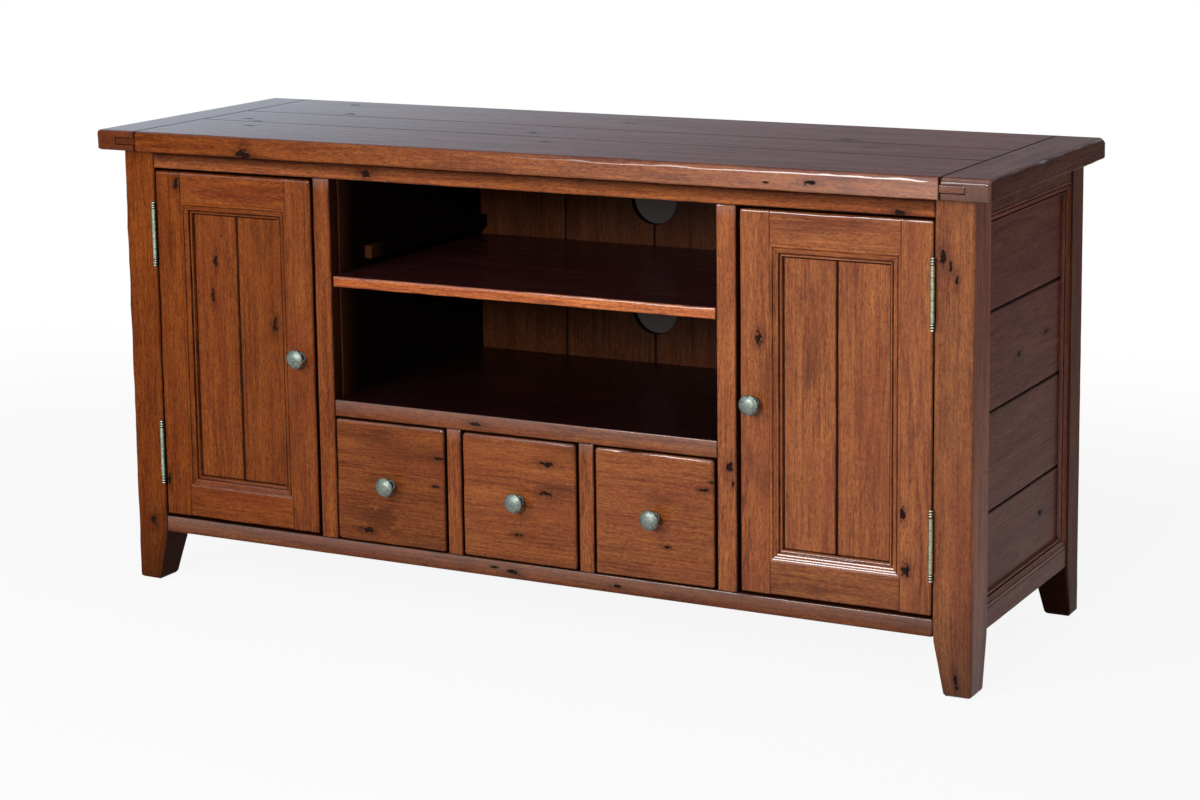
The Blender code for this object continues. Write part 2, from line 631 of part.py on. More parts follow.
def build_hinge(name, side, foot, axis):
    """A post leaf that carries the pin and its tips, and a door leaf that turns on it."""
    wrap = HINGE_Y + (PIN_DIAMETER / 2 + FIT + BARREL_DIAMETER / 2) / 2
    post_knuckles, door_knuckles = knuckle_spans(foot, 0), knuckle_spans(foot, 1)

    wall = side * (POST_INNER - FIT)
    post_leaf = board(f"{name}_post_leaf", (wall, wrap, foot),
                      (wall - side * LEAF_THICKNESS, LEAF_DEPTH, foot + HINGE_LENGTH), PEWTER, easing=0.0)
    barrel = add_cutter(f"{name}_barrel", barrel_form(), (side * HINGE_X, HINGE_Y, foot))
    turned(barrel, BARREL_STEPS)
    notch_out(post_leaf, f"{name}_post_notches", door_knuckles, side)
    combine(post_leaf, barrel, "UNION")

    edge = side * (DOOR_HINGE_EDGE + FIT)
    door_leaf = board(f"{name}_door_leaf", (edge, wrap, foot),
                      (edge + side * LEAF_THICKNESS, LEAF_DEPTH, foot + HINGE_LENGTH), PEWTER, axis, 0.0)
    form = bmesh.new()
    for low, high in door_knuckles:
        tube_form(low - foot, high - foot, form)
    bmesh.ops.recalc_face_normals(form, faces=form.faces[:])
    tubes = add_cutter(f"{name}_tubes", form, (side * HINGE_X, HINGE_Y, foot), axis)
    notch_out(door_leaf, f"{name}_door_notches", post_knuckles, side, axis)
    combine(door_leaf, tubes, "UNION")


def notch_out(leaf, name, knuckles, side, parent=CONSOLE):
    """Cut a leaf back where the other leaf's knuckles turn."""
    across = side * HINGE_X
    boxes = [((across - HINGE_GAP, HINGE_Y - BARREL_DIAMETER, low - FIT),
              (across + HINGE_GAP, 0.0, high + FIT)) for low, high in knuckles]
    form = boxes_form(boxes)
    shift = parent.location if parent is not CONSOLE else Vector()
    bmesh.ops.translate(form, verts=form.verts[:], vec=-shift)
    combine(leaf, add_cutter(name, form, shift, parent))


def build_drawer(name, across):
    """A drawer front with its knob, and the open box behind it, on a run of its own."""
    run = guide(f"{name}_run", (across, 0.0, OPENING_BOTTOM), CONSOLE)
    reach = DRAWER_OPENING_WIDTH / 2 - DRAWER_GAP
    face, behind = -DRAWER_PROUD, DRAWER_FRONT_THICKNESS - DRAWER_PROUD
    low, high = OPENING_BOTTOM + DRAWER_GAP, DRAWER_OPENING_TOP - DRAWER_GAP
    board(f"{name}_front", (across - reach, face, low), (across + reach, behind, high), PINE_FRONT, run)
    knob(f"{name}_knob", (across, face, (low + high) / 2), run)

    reach = DRAWER_OPENING_WIDTH / 2 - DRAWER_SIDE_GAP
    start, stop = behind + FIT, BACK_FRONT - DRAWER_BACK_GAP
    foot, rim = OPENING_BOTTOM + FIT, DRAWER_OPENING_TOP - DRAWER_TOP_GAP
    box = board(f"{name}_box", (across - reach, start, foot), (across + reach, stop, rim), PINE_INSIDE, run, 0.0)
    hollow = box_form((across - reach + DRAWER_WALL, start - CUT_MARGIN, foot + DRAWER_BOTTOM),
                      (across + reach - DRAWER_WALL, stop - DRAWER_WALL, rim + CUT_MARGIN), run.location)
    combine(box, add_cutter(f"{name}_hollow", hollow, run.location, run))


def build_console():
    build_posts_and_front_frame()
    build_inside()
    build_back()
    build_top()
    build_shelf()
    for hand, side in SIDES.items():
        build_side(hand, side)
        build_door(hand, side)
    for name, step in (("left_drawer", -1), ("middle_drawer", 0), ("right_drawer", 1)):
        build_drawer(name, step * DRAWER_PITCH)


build_console()
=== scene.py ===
"""Looks of a distressed pine media console, laid out as a Blender add-on.

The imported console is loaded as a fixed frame. Each operator dresses one group of its pieces: worn boards
with rounded edges, mitred mouldings, turned knobs and ball-tipped hinges. The last one sets the floor, the
lamps and the camera.
"""

import json
from math import cos, exp, pi, radians, sin
from random import Random

import bmesh
import bpy
from bpy.props import FloatProperty, FloatVectorProperty, IntProperty, PointerProperty
from mathutils import Matrix, Vector, noise


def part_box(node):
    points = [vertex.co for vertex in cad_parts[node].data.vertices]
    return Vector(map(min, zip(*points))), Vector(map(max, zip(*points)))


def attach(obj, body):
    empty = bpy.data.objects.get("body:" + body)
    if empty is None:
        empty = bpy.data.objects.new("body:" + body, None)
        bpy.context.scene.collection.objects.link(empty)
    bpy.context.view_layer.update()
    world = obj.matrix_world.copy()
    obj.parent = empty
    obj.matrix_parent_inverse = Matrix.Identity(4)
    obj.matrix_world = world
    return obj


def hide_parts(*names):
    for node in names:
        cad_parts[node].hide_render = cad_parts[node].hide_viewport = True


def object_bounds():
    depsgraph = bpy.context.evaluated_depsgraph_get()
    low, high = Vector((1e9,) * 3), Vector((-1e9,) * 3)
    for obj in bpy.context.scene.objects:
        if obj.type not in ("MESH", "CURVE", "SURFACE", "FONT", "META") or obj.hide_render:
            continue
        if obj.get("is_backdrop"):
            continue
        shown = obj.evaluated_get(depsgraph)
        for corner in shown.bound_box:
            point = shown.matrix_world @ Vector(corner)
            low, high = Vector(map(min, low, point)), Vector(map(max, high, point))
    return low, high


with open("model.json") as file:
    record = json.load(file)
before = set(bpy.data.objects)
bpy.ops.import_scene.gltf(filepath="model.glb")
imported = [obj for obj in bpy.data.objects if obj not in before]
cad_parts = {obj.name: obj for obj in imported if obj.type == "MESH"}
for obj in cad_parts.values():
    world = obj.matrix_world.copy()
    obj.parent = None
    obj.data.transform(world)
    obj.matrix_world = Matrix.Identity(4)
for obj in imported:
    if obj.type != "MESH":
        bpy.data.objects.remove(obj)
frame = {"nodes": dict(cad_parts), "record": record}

bl_info = {
    "name": "Distressed Pine Media Console",
    "version": (1, 0, 0),
    "blender": (4, 5, 0),
    "location": "View3D > Sidebar > Console",
    "description": "Dresses the packed console in worn, lacquered pine with pewter knobs and hinges",
    "category": "Object",
}

CAD_LOW, CAD_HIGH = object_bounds()
BODY_OF = {node: body for body, nodes in frame["record"]["behaviour"]["bodies"].items() for node in nodes}
SIDES = {"left": -1, "right": 1}
DRAWERS = ("left_drawer", "middle_drawer", "right_drawer")
X, Y, Z = 0, 1, 2
UP = Vector((0.0, 0.0, 1.0))
CROSS_BOARD_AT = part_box("breadboard_end_right")[0].x

# Gap left between two boards that touch
FIT = 0.0003

# Knots and nicks that the boards show: a point on the board's face and a size, in metres
MARKS = {
    "table_top 0": ((-0.419, -0.225, 0.640, 0.008), (0.437, -0.225, 0.648, 0.003),
                    (-0.004, -0.106, 0.664, 0.004), (-0.493, -0.102, 0.664, 0.004)),
    "table_top 1": ((-0.546, -0.030, 0.664, 0.005), (-0.514, -0.051, 0.664, 0.005),
                    (-0.068, -0.024, 0.664, 0.005), (0.422, 0.006, 0.664, 0.004)),
    "table_top 2": ((-0.436, 0.075, 0.664, 0.006), (-0.495, 0.180, 0.664, 0.005),
                    (0.363, 0.073, 0.664, 0.006), (0.003, 0.130, 0.664, 0.004)),
    "front_top_rail": ((-0.235, -0.200, 0.620, 0.006), (0.547, -0.200, 0.613, 0.004)),
    "front_bottom_rail": ((-0.013, -0.200, 0.085, 0.004), (-0.043, -0.200, 0.089, 0.002),
                          (0.146, -0.200, 0.086, 0.002)),
    "front_post_left": ((-0.615, -0.200, 0.089, 0.005),),
    "front_post_right": ((0.604, -0.200, 0.560, 0.004), (0.614, -0.200, 0.549, 0.0025),
                         (0.622, -0.200, 0.533, 0.0025), (0.619, -0.200, 0.022, 0.004)),
    "front_stile_right": ((0.313, -0.200, 0.266, 0.005), (0.317, -0.200, 0.245, 0.002)),
    "niche_floor": ((-0.067, -0.200, 0.286, 0.003),),
    "left_door_hinge_stile": ((-0.554, -0.200, 0.590, 0.005), (-0.585, -0.200, 0.153, 0.003)),
    "left_door_panel": ((-0.496, -0.191, 0.479, 0.003), (-0.503, -0.191, 0.430, 0.003),
                        (-0.398, -0.191, 0.395, 0.004)),
    "right_door_lock_stile": ((0.355, -0.200, 0.440, 0.0045),),
    "right_door_hinge_stile": ((0.551, -0.200, 0.231, 0.004), (0.557, -0.200, 0.159, 0.005)),
    "left_drawer_front": ((-0.245, -0.2015, 0.118, 0.004), (-0.224, -0.2015, 0.136, 0.011),
                          (-0.126, -0.2015, 0.232, 0.0025), (-0.132, -0.2015, 0.192, 0.002)),
    "middle_drawer_front": ((0.043, -0.2015, 0.242, 0.0035), (0.041, -0.2015, 0.201, 0.0035),
                            (-0.004, -0.2015, 0.139, 0.0025)),
    "right_drawer_front": ((0.288, -0.2015, 0.243, 0.002), (0.279, -0.2015, 0.232, 0.0025),
                           (0.222, -0.2015, 0.149, 0.002)),
    "side_panel_right": ((0.6345, -0.003, 0.406, 0.004), (0.6345, 0.104, 0.417, 0.003),
                         (0.6345, 0.090, 0.173, 0.004)),
}
MARK_COUNT = 4

# Boards that are clearly darker or lighter than their neighbours, partly in their own tone and partly as painted
# light and shade, such as the top rail, painted lighter against the shadow under the top
SHADES = {
    "front_post_left": 0.96, "front_post_right": 0.77, "front_top_rail": 1.25, "front_bottom_rail": 0.72,
    "left_drawer_front": 0.76, "middle_drawer_front": 0.90, "right_drawer_front": 0.90,
    "left_door_lock_stile": 0.88, "left_door_panel 1": 0.88, "right_door_hinge_stile": 0.94,
    "right_door_bottom_rail": 0.92, "breadboard_end_right": 0.85, "niche_shelf": 2.00, "niche_floor": 0.74,
}
FAR_AWAY = (-99.0, 0.0, 0.0, 0.0)

# Steps round a cable hole
HOLE_STEPS = 64

# Faces that meet at less than this angle are shaded as one
SHARP_ANGLE = radians(42.0)

# Random ranges of a board's shade, and of the reach in metres and the depth of its knocks
BOARD_SHADE = (0.90, 1.10)
KNOCK_REACH = (0.005, 0.013)
KNOCK_DEPTH = (0.2, 1.0)

# Cuts across a board's rounding as shares of it, and the least distance between two cuts in metres
ROUNDING_CUTS = (0.35, 0.70, 1.0)
LEAST_CUT = 0.0001

# Wear along an edge: waves to the metre with their strength, and the least share of the rounding left
WEAR_WAVES = ((26.0, 1.0), (71.0, 0.6))
LEAST_WEAR = 0.35

# Depths in metres, from a board's face or edge, over which one finish goes over to another
GAP_FADE = (0.0014, 0.0032)
POST_SIDE_FADE = (0.0016, 0.0036)
POST_SIDE_DEPTH = 0.003
GATHERED_FADE = (0.0024, 0.0040)
# Depths under the top over which the top rail's painted shadow fades
UNDER_TOP_FADE = (0.0054, 0.0066)
FRONT_EDGE_FADE = (0.0008, 0.0020)
FAR_SIDE_FADE = (0.001, 0.004)
NICHE_FADE = (0.004, 0.030)
UPPER_FACE_FADE = (0.0004, 0.0026)
END_FACE_FADE = (0.006, 0.002)
END_JOINT_FADE = (0.0016, 0.0022)
FRONT_JOINT_FADE = (0.0020, 0.0040)
END_GRAIN_FADE = (0.004, 0.001)

# Heights in metres over which a finish changes
FLOOR_FADE = (0.0, 0.15)
POST_GLOSS_FADE = (0.1, 0.5)
SIDE_GLOSS_FADE = (0.12, 0.58)

# Painted shade of the wood at the floor, gloss at the left end of the front, and gloss of gathered lacquer
PAINTED_FLOOR_SHADE = 0.47
LEFT_GLOSS = 0.08
GATHERED_GLOSS = 5.0

# Gloss of the end panels low down and high up, and strength of the tint on their mouldings
SIDE_GLOSS_LOW, SIDE_GLOSS_HIGH = 0.85, 0.20
SIDE_MOULDING_STRENGTH = Vector((1.5, 1.7, 1.5))

# Share of the front's tint that the tongues' end grain shows; the larger blue share is a painted sheen
TONGUE_STRENGTH = (0.54, 0.53, 0.72)

# Upper face of the top: gloss at the right end, and how much more there is at the left
TOP_GLOSS, TOP_GLOSS_GAIN = 0.115, 0.70

# Edges of the top: gloss at the left end, how much more there is at the right, and how much paler the right end
# is painted, a painted sheen
TOP_EDGE_GLOSS, TOP_EDGE_GLOSS_GAIN = 0.12, 1.53
TOP_EDGE_SHEEN_GAIN = 0.12

# Ends of the top: share of the end panels' tint, painted there as shade, and metres from a cross board to the
# middle of its joint, which is painted dark as shade
TOP_END_STRENGTH = 0.72
JOINT_SETBACK = 0.001

# Painted shadow line on a panel: full share of its width, and depths in metres from face and back where it fades
LINE_FULL = 0.6
LINE_FACE, LINE_BACK = 0.003, 0.001


def length(name, description, default):
    """A size in metres that a user may change."""
    return FloatProperty(name=name, description=description, default=default, min=0.0, unit="LENGTH",
                         precision=4)


def share(name, description, default):
    """A share from none to all."""
    return FloatProperty(name=name, description=description, default=default, min=0.0, max=1.0,
                         subtype="FACTOR")


def colour(name, description, default):
    """A colour in linear light."""
    return FloatVectorProperty(name=name, description=description, default=default, size=3, min=0.0, max=1.0,
                               subtype="COLOR")


class ConsoleWood(bpy.types.PropertyGroup):
    """Sizes of the boards' worn edges, seams and mouldings."""

    edge_rounding: length("Edge rounding", "Rounding of a board's plain edges", 0.0012)
    edge_flatness: FloatProperty(name="Edge flatness", default=1.45, min=1.0, max=2.0,
                                 description="Two is a true round, and one is a flat chamfer")
    post_rounding: length("Post rounding", "Rounding of the posts' outer corners", 0.0035)
    foot_rounding: length("Foot rounding", "How far the feet draw in at the floor", 0.0045)
    foot_ease: length("Foot ease", "Height over the floor at which the feet start to draw in", 0.0053)
    drawer_rounding: length("Drawer rounding", "Rounding of the drawer fronts", 0.0036)
    drawer_wear: length("Drawer wear", "How far the drawer fronts' right sides are worn back", 0.0020)
    drawer_growth: length("Drawer growth", "How far the drawer fronts reach over on the left", 0.0010)
    drawer_sag: length("Drawer sag", "How far the drawer fronts' tops are worn down", 0.0006)
    divider_wear: length("Divider wear", "How far the dividers' right sides are worn back", 0.0022)
    door_wear: length("Door wear", "How far the doors' lock edges and tops are worn back", 0.0010)
    door_rounding: length("Door rounding", "Rounding of the doors' outer edges", 0.0026)
    shelf_rounding: length("Shelf rounding", "Rounding of the shelf's front edge", 0.0028)
    stile_wear: length("Stile wear", "How far the uprights beside the doors are worn back", 0.0014)
    top_rounding: length("Top rounding", "Rounding of the top's upper edges", 0.006)
    under_rounding: length("Under rounding", "Rounding of the top's lower edges", 0.004)
    wear: share("Wear", "How unevenly the edges are worn down", 0.45)
    knock_spacing: length("Knock spacing", "Length of board for each knock in an edge", 0.11)
    cut_pitch: length("Cut pitch", "Spacing of the points along a board", 0.016)
    rim_start: length("Rim start", "How far the dark glaze is full from an edge", 0.0004)
    rim_width: length("Rim width", "How far the dark glaze fades from there", 0.0018)
    seam_gap: length("Seam gap", "Width of the gap between the boards of a panel", 0.003)
    # The panel line is a painted shadow beside the moulding.
    panel_line: length("Panel line", "Width of the dark line on a panel beside its moulding", 0.0022)
    seam_depth: length("Seam depth", "Depth of the gap between the boards of a panel", 0.003)
    top_seam_gap: length("Top seam gap", "Width of the gap between the boards of the top", 0.0014)
    end_joint: length("End joint", "Width of the dark joint beside the top's cross boards", 0.0022)
    side_board: length("Side board", "Height of a board in a side panel", 0.1297)
    front_board: length("Front board", "Width of the top's front board", 0.166)
    middle_board: length("Middle board", "Width of the top's middle board", 0.113)
    tongue: length("Tongue", "Thickness of the tongue at each end of the top", 0.010)
    tongue_setback: length("Tongue setback", "How far the tongue's ends lie back from the edges", 0.0005)
    back_planks: IntProperty(name="Back planks", description="Upright planks in the back", default=8, min=2)
    cable_hole: length("Cable hole", "Diameter of the holes in the back", 0.075)
    moulding_width: length("Moulding width", "Width of the moulding round a panel", 0.016)
    fillet_width: length("Fillet width", "Eased outer edge of the moulding", 0.0036)
    bead_width: length("Bead width", "Width of the moulding's bead", 0.0036)
    bead_height: length("Bead height", "Height of the moulding's bead over the panel", 0.0047)
    quirk_height: length("Quirk height", "Height of the groove beside the bead", 0.0012)
    door_moulding_gloss: FloatProperty(name="Door moulding gloss", default=12.0, min=0.0,
                                       description="Gloss of the lowest moulding in a door")
    side_moulding_gloss: FloatProperty(name="Side moulding gloss", default=1.5, min=0.0,
                                       description="Gloss of the lowest moulding in an end panel")
    spare_cleat_lift: length("Spare cleat lift", "Height of the spare cleats over the shelf", 0.011)
    drawer_wall: length("Drawer wall", "Thickness of a drawer's sides and back", 0.010)
    drawer_bottom: length("Drawer bottom", "Thickness of a drawer's bottom", 0.006)


class ConsoleMetal(bpy.types.PropertyGroup):
    """Sizes of the knobs and hinges that the frame doesn't give."""

    knob_spread: FloatProperty(name="Knob spread", default=1.04,
                               description="Width of the knobs against the frame's")
    knob_neck: share("Knob neck", "Neck's share of the knob's width", 0.36)
    knob_foot: share("Knob foot", "Foot's share of the knob's width", 0.54)
    knob_dome: share("Knob dome", "Dome's share of the knob's length", 0.15)
    leaf_thickness: length("Leaf thickness", "Thickness of a hinge leaf", 0.0006)
    barrel_width: share("Barrel width", "Barrel's share of the width that the frame gives it", 0.82)
    tip_length: length("Tip length", "Length of the turned tip at each end of a hinge", 0.0112)
    turning_steps: IntProperty(name="Turning steps", default=40, min=8,
                               description="Steps round a turned piece")
    knuckles: IntProperty(name="Knuckles", description="Knuckles of a hinge", default=5, min=3)


class ConsoleColours(bpy.types.PropertyGroup):
    """Colours of the lacquered pine and the metal."""

    pine_deep: colour("Deep pine", "Darker streaks of the lacquered pine", (0.140, 0.030, 0.012))
    pine_pale: colour("Pale pine", "Lighter streaks of the lacquered pine", (0.440, 0.146, 0.044))
    pine_red: colour("Red pine", "Redder patches of the lacquered pine", (0.250, 0.058, 0.022))
    pore: colour("Pore", "Short dark pores along the grain", (0.062, 0.014, 0.007))
    knot: colour("Knot", "Wood round a knot", (0.085, 0.020, 0.008))
    glaze: colour("Glaze", "Dark glaze in nicks, seams and along edges", (0.010, 0.005, 0.004))
    # The left tint is painted darker than the right, partly as shade.
    left_tint: colour("Left tint", "Tint of the boards at the left end", (0.55, 0.395, 0.155))
    right_tint: colour("Right tint", "Tint of the boards at the right end", (0.98, 1.0, 1.0))
    top_tint: colour("Top tint", "Tint of the top's upper face", (0.49, 0.34, 0.34))
    # The end panels' blue cast is a painted sheen.
    side_tint: colour("Side tint", "Tint of the end panels", (0.52, 0.43, 0.72))
    post_tint: colour("Post tint", "Tint of the front posts' outer sides", (1.0, 0.88, 0.98))
    # The inside, partition and back tints are painted dark as the shade inside the case.
    inside_tint: colour("Inside tint", "Tint of the boards inside", (0.062, 0.052, 0.17))
    back_tint: colour("Back tint", "Tint of the planked back", (0.20, 0.185, 0.16))
    partition_tint: colour("Partition tint", "Tint of the upright boards inside", (0.016, 0.02, 0.035))
    # Edges that face a gap are painted this dark tint as shade.
    edge_tint: colour("Edge tint", "Tint of the board edges that face a gap", (0.10, 0.08, 0.09))
    # The right end grain's blue cast is a painted sheen on top of its darker stain.
    end_grain: colour("End grain", "Tint of the ends of the cross boards", (0.27, 0.27, 0.46))
    left_end_grain: colour("Left end grain", "Tint of the ends of the left cross board", (0.40, 0.26, 0.17))
    box_tint: colour("Box tint", "Tint of the drawers' boxes", (0.80, 0.85, 0.90))
    pewter: colour("Pewter", "Rubbed pewter", (0.38, 0.39, 0.35))
    patina: colour("Patina", "Dark patina in the pewter's hollows", (0.050, 0.047, 0.034))
    knob_tint: colour("Knob tint", "Tint of the knobs' metal", (0.61, 0.66, 0.64))
    hinge_tint: colour("Hinge tint", "Tint of the hinges' barrels and leaves", (0.70, 0.66, 0.48))
    # The left hinges' cooler, paler tint is a painted reflection.
    left_hinge_tint: colour("Left hinge tint", "Tint of the left hinges' metal", (0.62, 0.74, 0.64))
    # The tips are painted paler than the barrels as a painted highlight.
    tip_tint: colour("Tip tint", "Tint of the hinges' turned tips", (1.0, 1.0, 0.90))
    floor: colour("Floor", "Pale studio floor", (0.74, 0.74, 0.74))


class ConsoleStage(bpy.types.PropertyGroup):
    """Camera and lamps."""

    lens: FloatProperty(name="Lens", default=82.205, unit="CAMERA",
                        description="Focal length in millimetres")
    spot: FloatVectorProperty(name="Camera", description="Where the camera stands", size=3, unit="LENGTH",
                              default=(1.7856, -3.3288, 1.1269))
    turn: FloatProperty(name="Turn", description="Camera's turn to the left of straight ahead",
                        default=radians(27.929), subtype="ANGLE")
    dip: FloatProperty(name="Dip", description="Camera's dip below the horizon", default=radians(9.221),
                       subtype="ANGLE")
    roll: FloatProperty(name="Roll", description="Camera's roll", default=radians(-0.715), subtype="ANGLE")
    shift: FloatProperty(name="Shift", description="Upward shift of the lens, which keeps uprights upright",
                         default=-0.1333)
    floor_size: length("Floor size", "Half the width of the floor", 40.0)
    sky: share("Sky", "Brightness of the soft light from all round", 0.26)
    key_power: FloatProperty(name="Key power", description="Power of the lamp in front", default=94.0,
                             unit="POWER")
    edge_power: FloatProperty(name="Edge power", default=37.0, unit="POWER",
                              description="Power of the tall lamp at the left, for the edges")
    white_near: share("White near", "Share of plain white in the floor beside the console", 0.90)
    white_from: length("White from", "Distance at which the floor starts to go plain white", 0.8)
    white_at: length("White at", "Distance at which the floor is plain white", 2.1)


# Node trees

def add_node(tree, kind, inputs=None, **settings):
    """Add a node, set its options, and link or set its inputs."""
    node = tree.nodes.new(kind)
    for name, value in settings.items():
        setattr(node, name, value)
    for key, value in (inputs or {}).items():
        if isinstance(value, bpy.types.NodeSocket):
            tree.links.new(value, node.inputs[key])
        else:
            node.inputs[key].default_value = value
    return node


def maths(tree, operation, *values, clamp=False):
    return add_node(tree, "ShaderNodeMath", dict(enumerate(values)), operation=operation,
                    use_clamp=clamp).outputs["Value"]


def stepped(tree, value, start, stop, low=0.0, high=1.0):
    """A smooth step of a value from low at the start to high at the stop."""
    inputs = {"Value": value, "From Min": start, "From Max": stop, "To Min": low, "To Max": high}
    return add_node(tree, "ShaderNodeMapRange", inputs, interpolation_type="SMOOTHSTEP").outputs["Result"]


def mixed(tree, factor, first, second, mode="MIX"):
    """Mix two colours, which are the sixth and seventh sockets of the Mix node."""
    node = add_node(tree, "ShaderNodeMix", {0: factor}, data_type="RGBA", blend_type=mode)
    for key, value in ((6, first), (7, second)):
        if isinstance(value, bpy.types.NodeSocket):
            tree.links.new(value, node.inputs[key])
        else:
            node.inputs[key].default_value = (*value, 1.0)
    return node.outputs[2]


def scaled(tree, vector, scale):
    inputs = {0: vector, 1: scale}
    return add_node(tree, "ShaderNodeVectorMath", inputs, operation="MULTIPLY").outputs["Vector"]


def clouds(tree, vector, scale, detail=2.0):
    """Soft noise from 0 to 1, with a scale for each direction of the grain."""
    inputs = {"Vector": scaled(tree, vector, scale), "Scale": 1.0, "Detail": detail, "Roughness": 0.55}
    return add_node(tree, "ShaderNodeTexNoise", inputs).outputs[0]


def new_group(name, inputs, outputs):
    """An empty shader node group with named sockets."""
    tree = bpy.data.node_groups.new(name, "ShaderNodeTree")
    for socket, kind in inputs.items():
        tree.interface.new_socket(name=socket, in_out="INPUT", socket_type=kind)
    for socket in outputs:
        tree.interface.new_socket(name=socket, in_out="OUTPUT", socket_type="NodeSocketFloat")
    return tree, tree.nodes.new("NodeGroupInput").outputs, tree.nodes.new("NodeGroupOutput").inputs


def use_group(tree, group, inputs):
    return add_node(tree, "ShaderNodeGroup", inputs, node_tree=group).outputs


def pine_grain_group():
    """Growth rings, fibres, broad bands, short pores and smudges, from a place in the grain in metres."""
    tree, given, made = new_group("Pine grain", {"Grain": "NodeSocketVector", "Stripes": "NodeSocketFloat"},
                                  ("Tone", "Red", "Pore", "Smudge", "Height"))
    grain = given["Grain"]
    bend = maths(tree, "SUBTRACT", clouds(tree, grain, (2.6, 9.0, 9.0), 1.0), 0.5)
    parts = add_node(tree, "ShaderNodeSeparateXYZ", {0: grain}).outputs
    across = maths(tree, "MULTIPLY_ADD", bend, 0.030, parts[1])
    through = maths(tree, "MULTIPLY_ADD", bend, 0.022, parts[2])
    squared = maths(tree, "MULTIPLY_ADD", through, through, maths(tree, "MULTIPLY", across, across))
    rings = maths(tree, "FRACT", maths(tree, "MULTIPLY", maths(tree, "SQRT", squared), 230.0))
    late = maths(tree, "MULTIPLY", stepped(tree, rings, 0.30, 0.88), stepped(tree, rings, 1.0, 0.90))
    patches = stepped(tree, clouds(tree, grain, (3.0, 22.0, 22.0)), 0.35, 0.65, 0.15, 1.0)
    stripes = maths(tree, "MULTIPLY", maths(tree, "MULTIPLY", late, patches), given["Stripes"])

    fibres = maths(tree, "SUBTRACT", clouds(tree, grain, (34.0, 620.0, 620.0), 2.0), 0.5)
    bands = maths(tree, "SUBTRACT", clouds(tree, grain, (5.0, 55.0, 55.0), 3.0), 0.5)
    streaks = maths(tree, "SUBTRACT", clouds(tree, grain, (6.0, 260.0, 260.0), 2.0), 0.5)
    tone = maths(tree, "MULTIPLY_ADD", bands, 1.1, maths(tree, "MULTIPLY_ADD", streaks, 0.65, 0.52))
    mottle = maths(tree, "SUBTRACT", clouds(tree, grain, (110.0, 330.0, 330.0), 1.0), 0.5)
    tone = maths(tree, "MULTIPLY_ADD", mottle, 0.70, maths(tree, "MULTIPLY_ADD", fibres, 1.15, tone))
    tree.links.new(maths(tree, "SUBTRACT", tone, stripes, clamp=True), made["Tone"])
    tree.links.new(stepped(tree, clouds(tree, grain, (5.0, 21.0, 21.0)), 0.46, 0.70), made["Red"])

    tree.links.new(stepped(tree, clouds(tree, grain, (11.0, 27.0, 27.0), 3.0), 0.52, 0.78), made["Smudge"])
    pores = stepped(tree, clouds(tree, grain, (190.0, 820.0, 820.0), 1.0), 0.52, 0.66)
    tree.links.new(pores, made["Pore"])
    ripple = clouds(tree, grain, (9.0, 26.0, 26.0), 1.0)
    height = maths(tree, "MULTIPLY_ADD", pores, -0.10, maths(tree, "MULTIPLY_ADD", fibres, 0.10, ripple))
    tree.links.new(height, made["Height"])
    return tree


def knot_group():
    """One knot or nick at a place in the grain: a dark pit and a brown halo, both uneven."""
    inputs = {"Grain": "NodeSocketVector", "Place": "NodeSocketVector", "Size": "NodeSocketFloat"}
    tree, given, made = new_group("Knot or nick", inputs, ("Pit", "Halo", "Ring"))
    places = {0: given["Grain"], 1: given["Place"]}
    offset = add_node(tree, "ShaderNodeVectorMath", places, operation="SUBTRACT")
    stretch = stepped(tree, given["Size"], 0.0032, 0.0055, 0.30, 0.62)
    stretch = add_node(tree, "ShaderNodeCombineXYZ", {0: stretch, 1: 1.0, 2: 1.0}).outputs[0]
    drawn = scaled(tree, offset.outputs["Vector"], stretch)
    distance = add_node(tree, "ShaderNodeVectorMath", {0: drawn}, operation="LENGTH").outputs["Value"]
    uneven = maths(tree, "SUBTRACT", clouds(tree, given["Grain"], (170.0, 260.0, 260.0), 3.0), 0.5)
    uneven = maths(tree, "MULTIPLY", uneven, maths(tree, "MULTIPLY", given["Size"], 3.0))
    distance = maths(tree, "ADD", distance, uneven)
    edge = maths(tree, "MULTIPLY", given["Size"], 0.62)
    holed = stepped(tree, given["Size"], 0.0115, 0.0080)
    tree.links.new(maths(tree, "MULTIPLY", stepped(tree, distance, given["Size"], edge), holed), made["Pit"])
    reach = maths(tree, "MULTIPLY", given["Size"], 3.2)
    tree.links.new(stepped(tree, distance, reach, edge), made["Halo"])
    aside = maths(tree, "ABSOLUTE", maths(tree, "MULTIPLY_ADD", given["Size"], -1.7, distance))
    ring = stepped(tree, aside, maths(tree, "MULTIPLY", given["Size"], 0.5), 0.0)
    large = stepped(tree, given["Size"], 0.0060, 0.0075)
    broken = stepped(tree, clouds(tree, given["Grain"], (30.0, 45.0, 45.0)), 0.42, 0.58)
    tree.links.new(maths(tree, "MULTIPLY", maths(tree, "MULTIPLY", ring, large), broken), made["Ring"])
    return tree


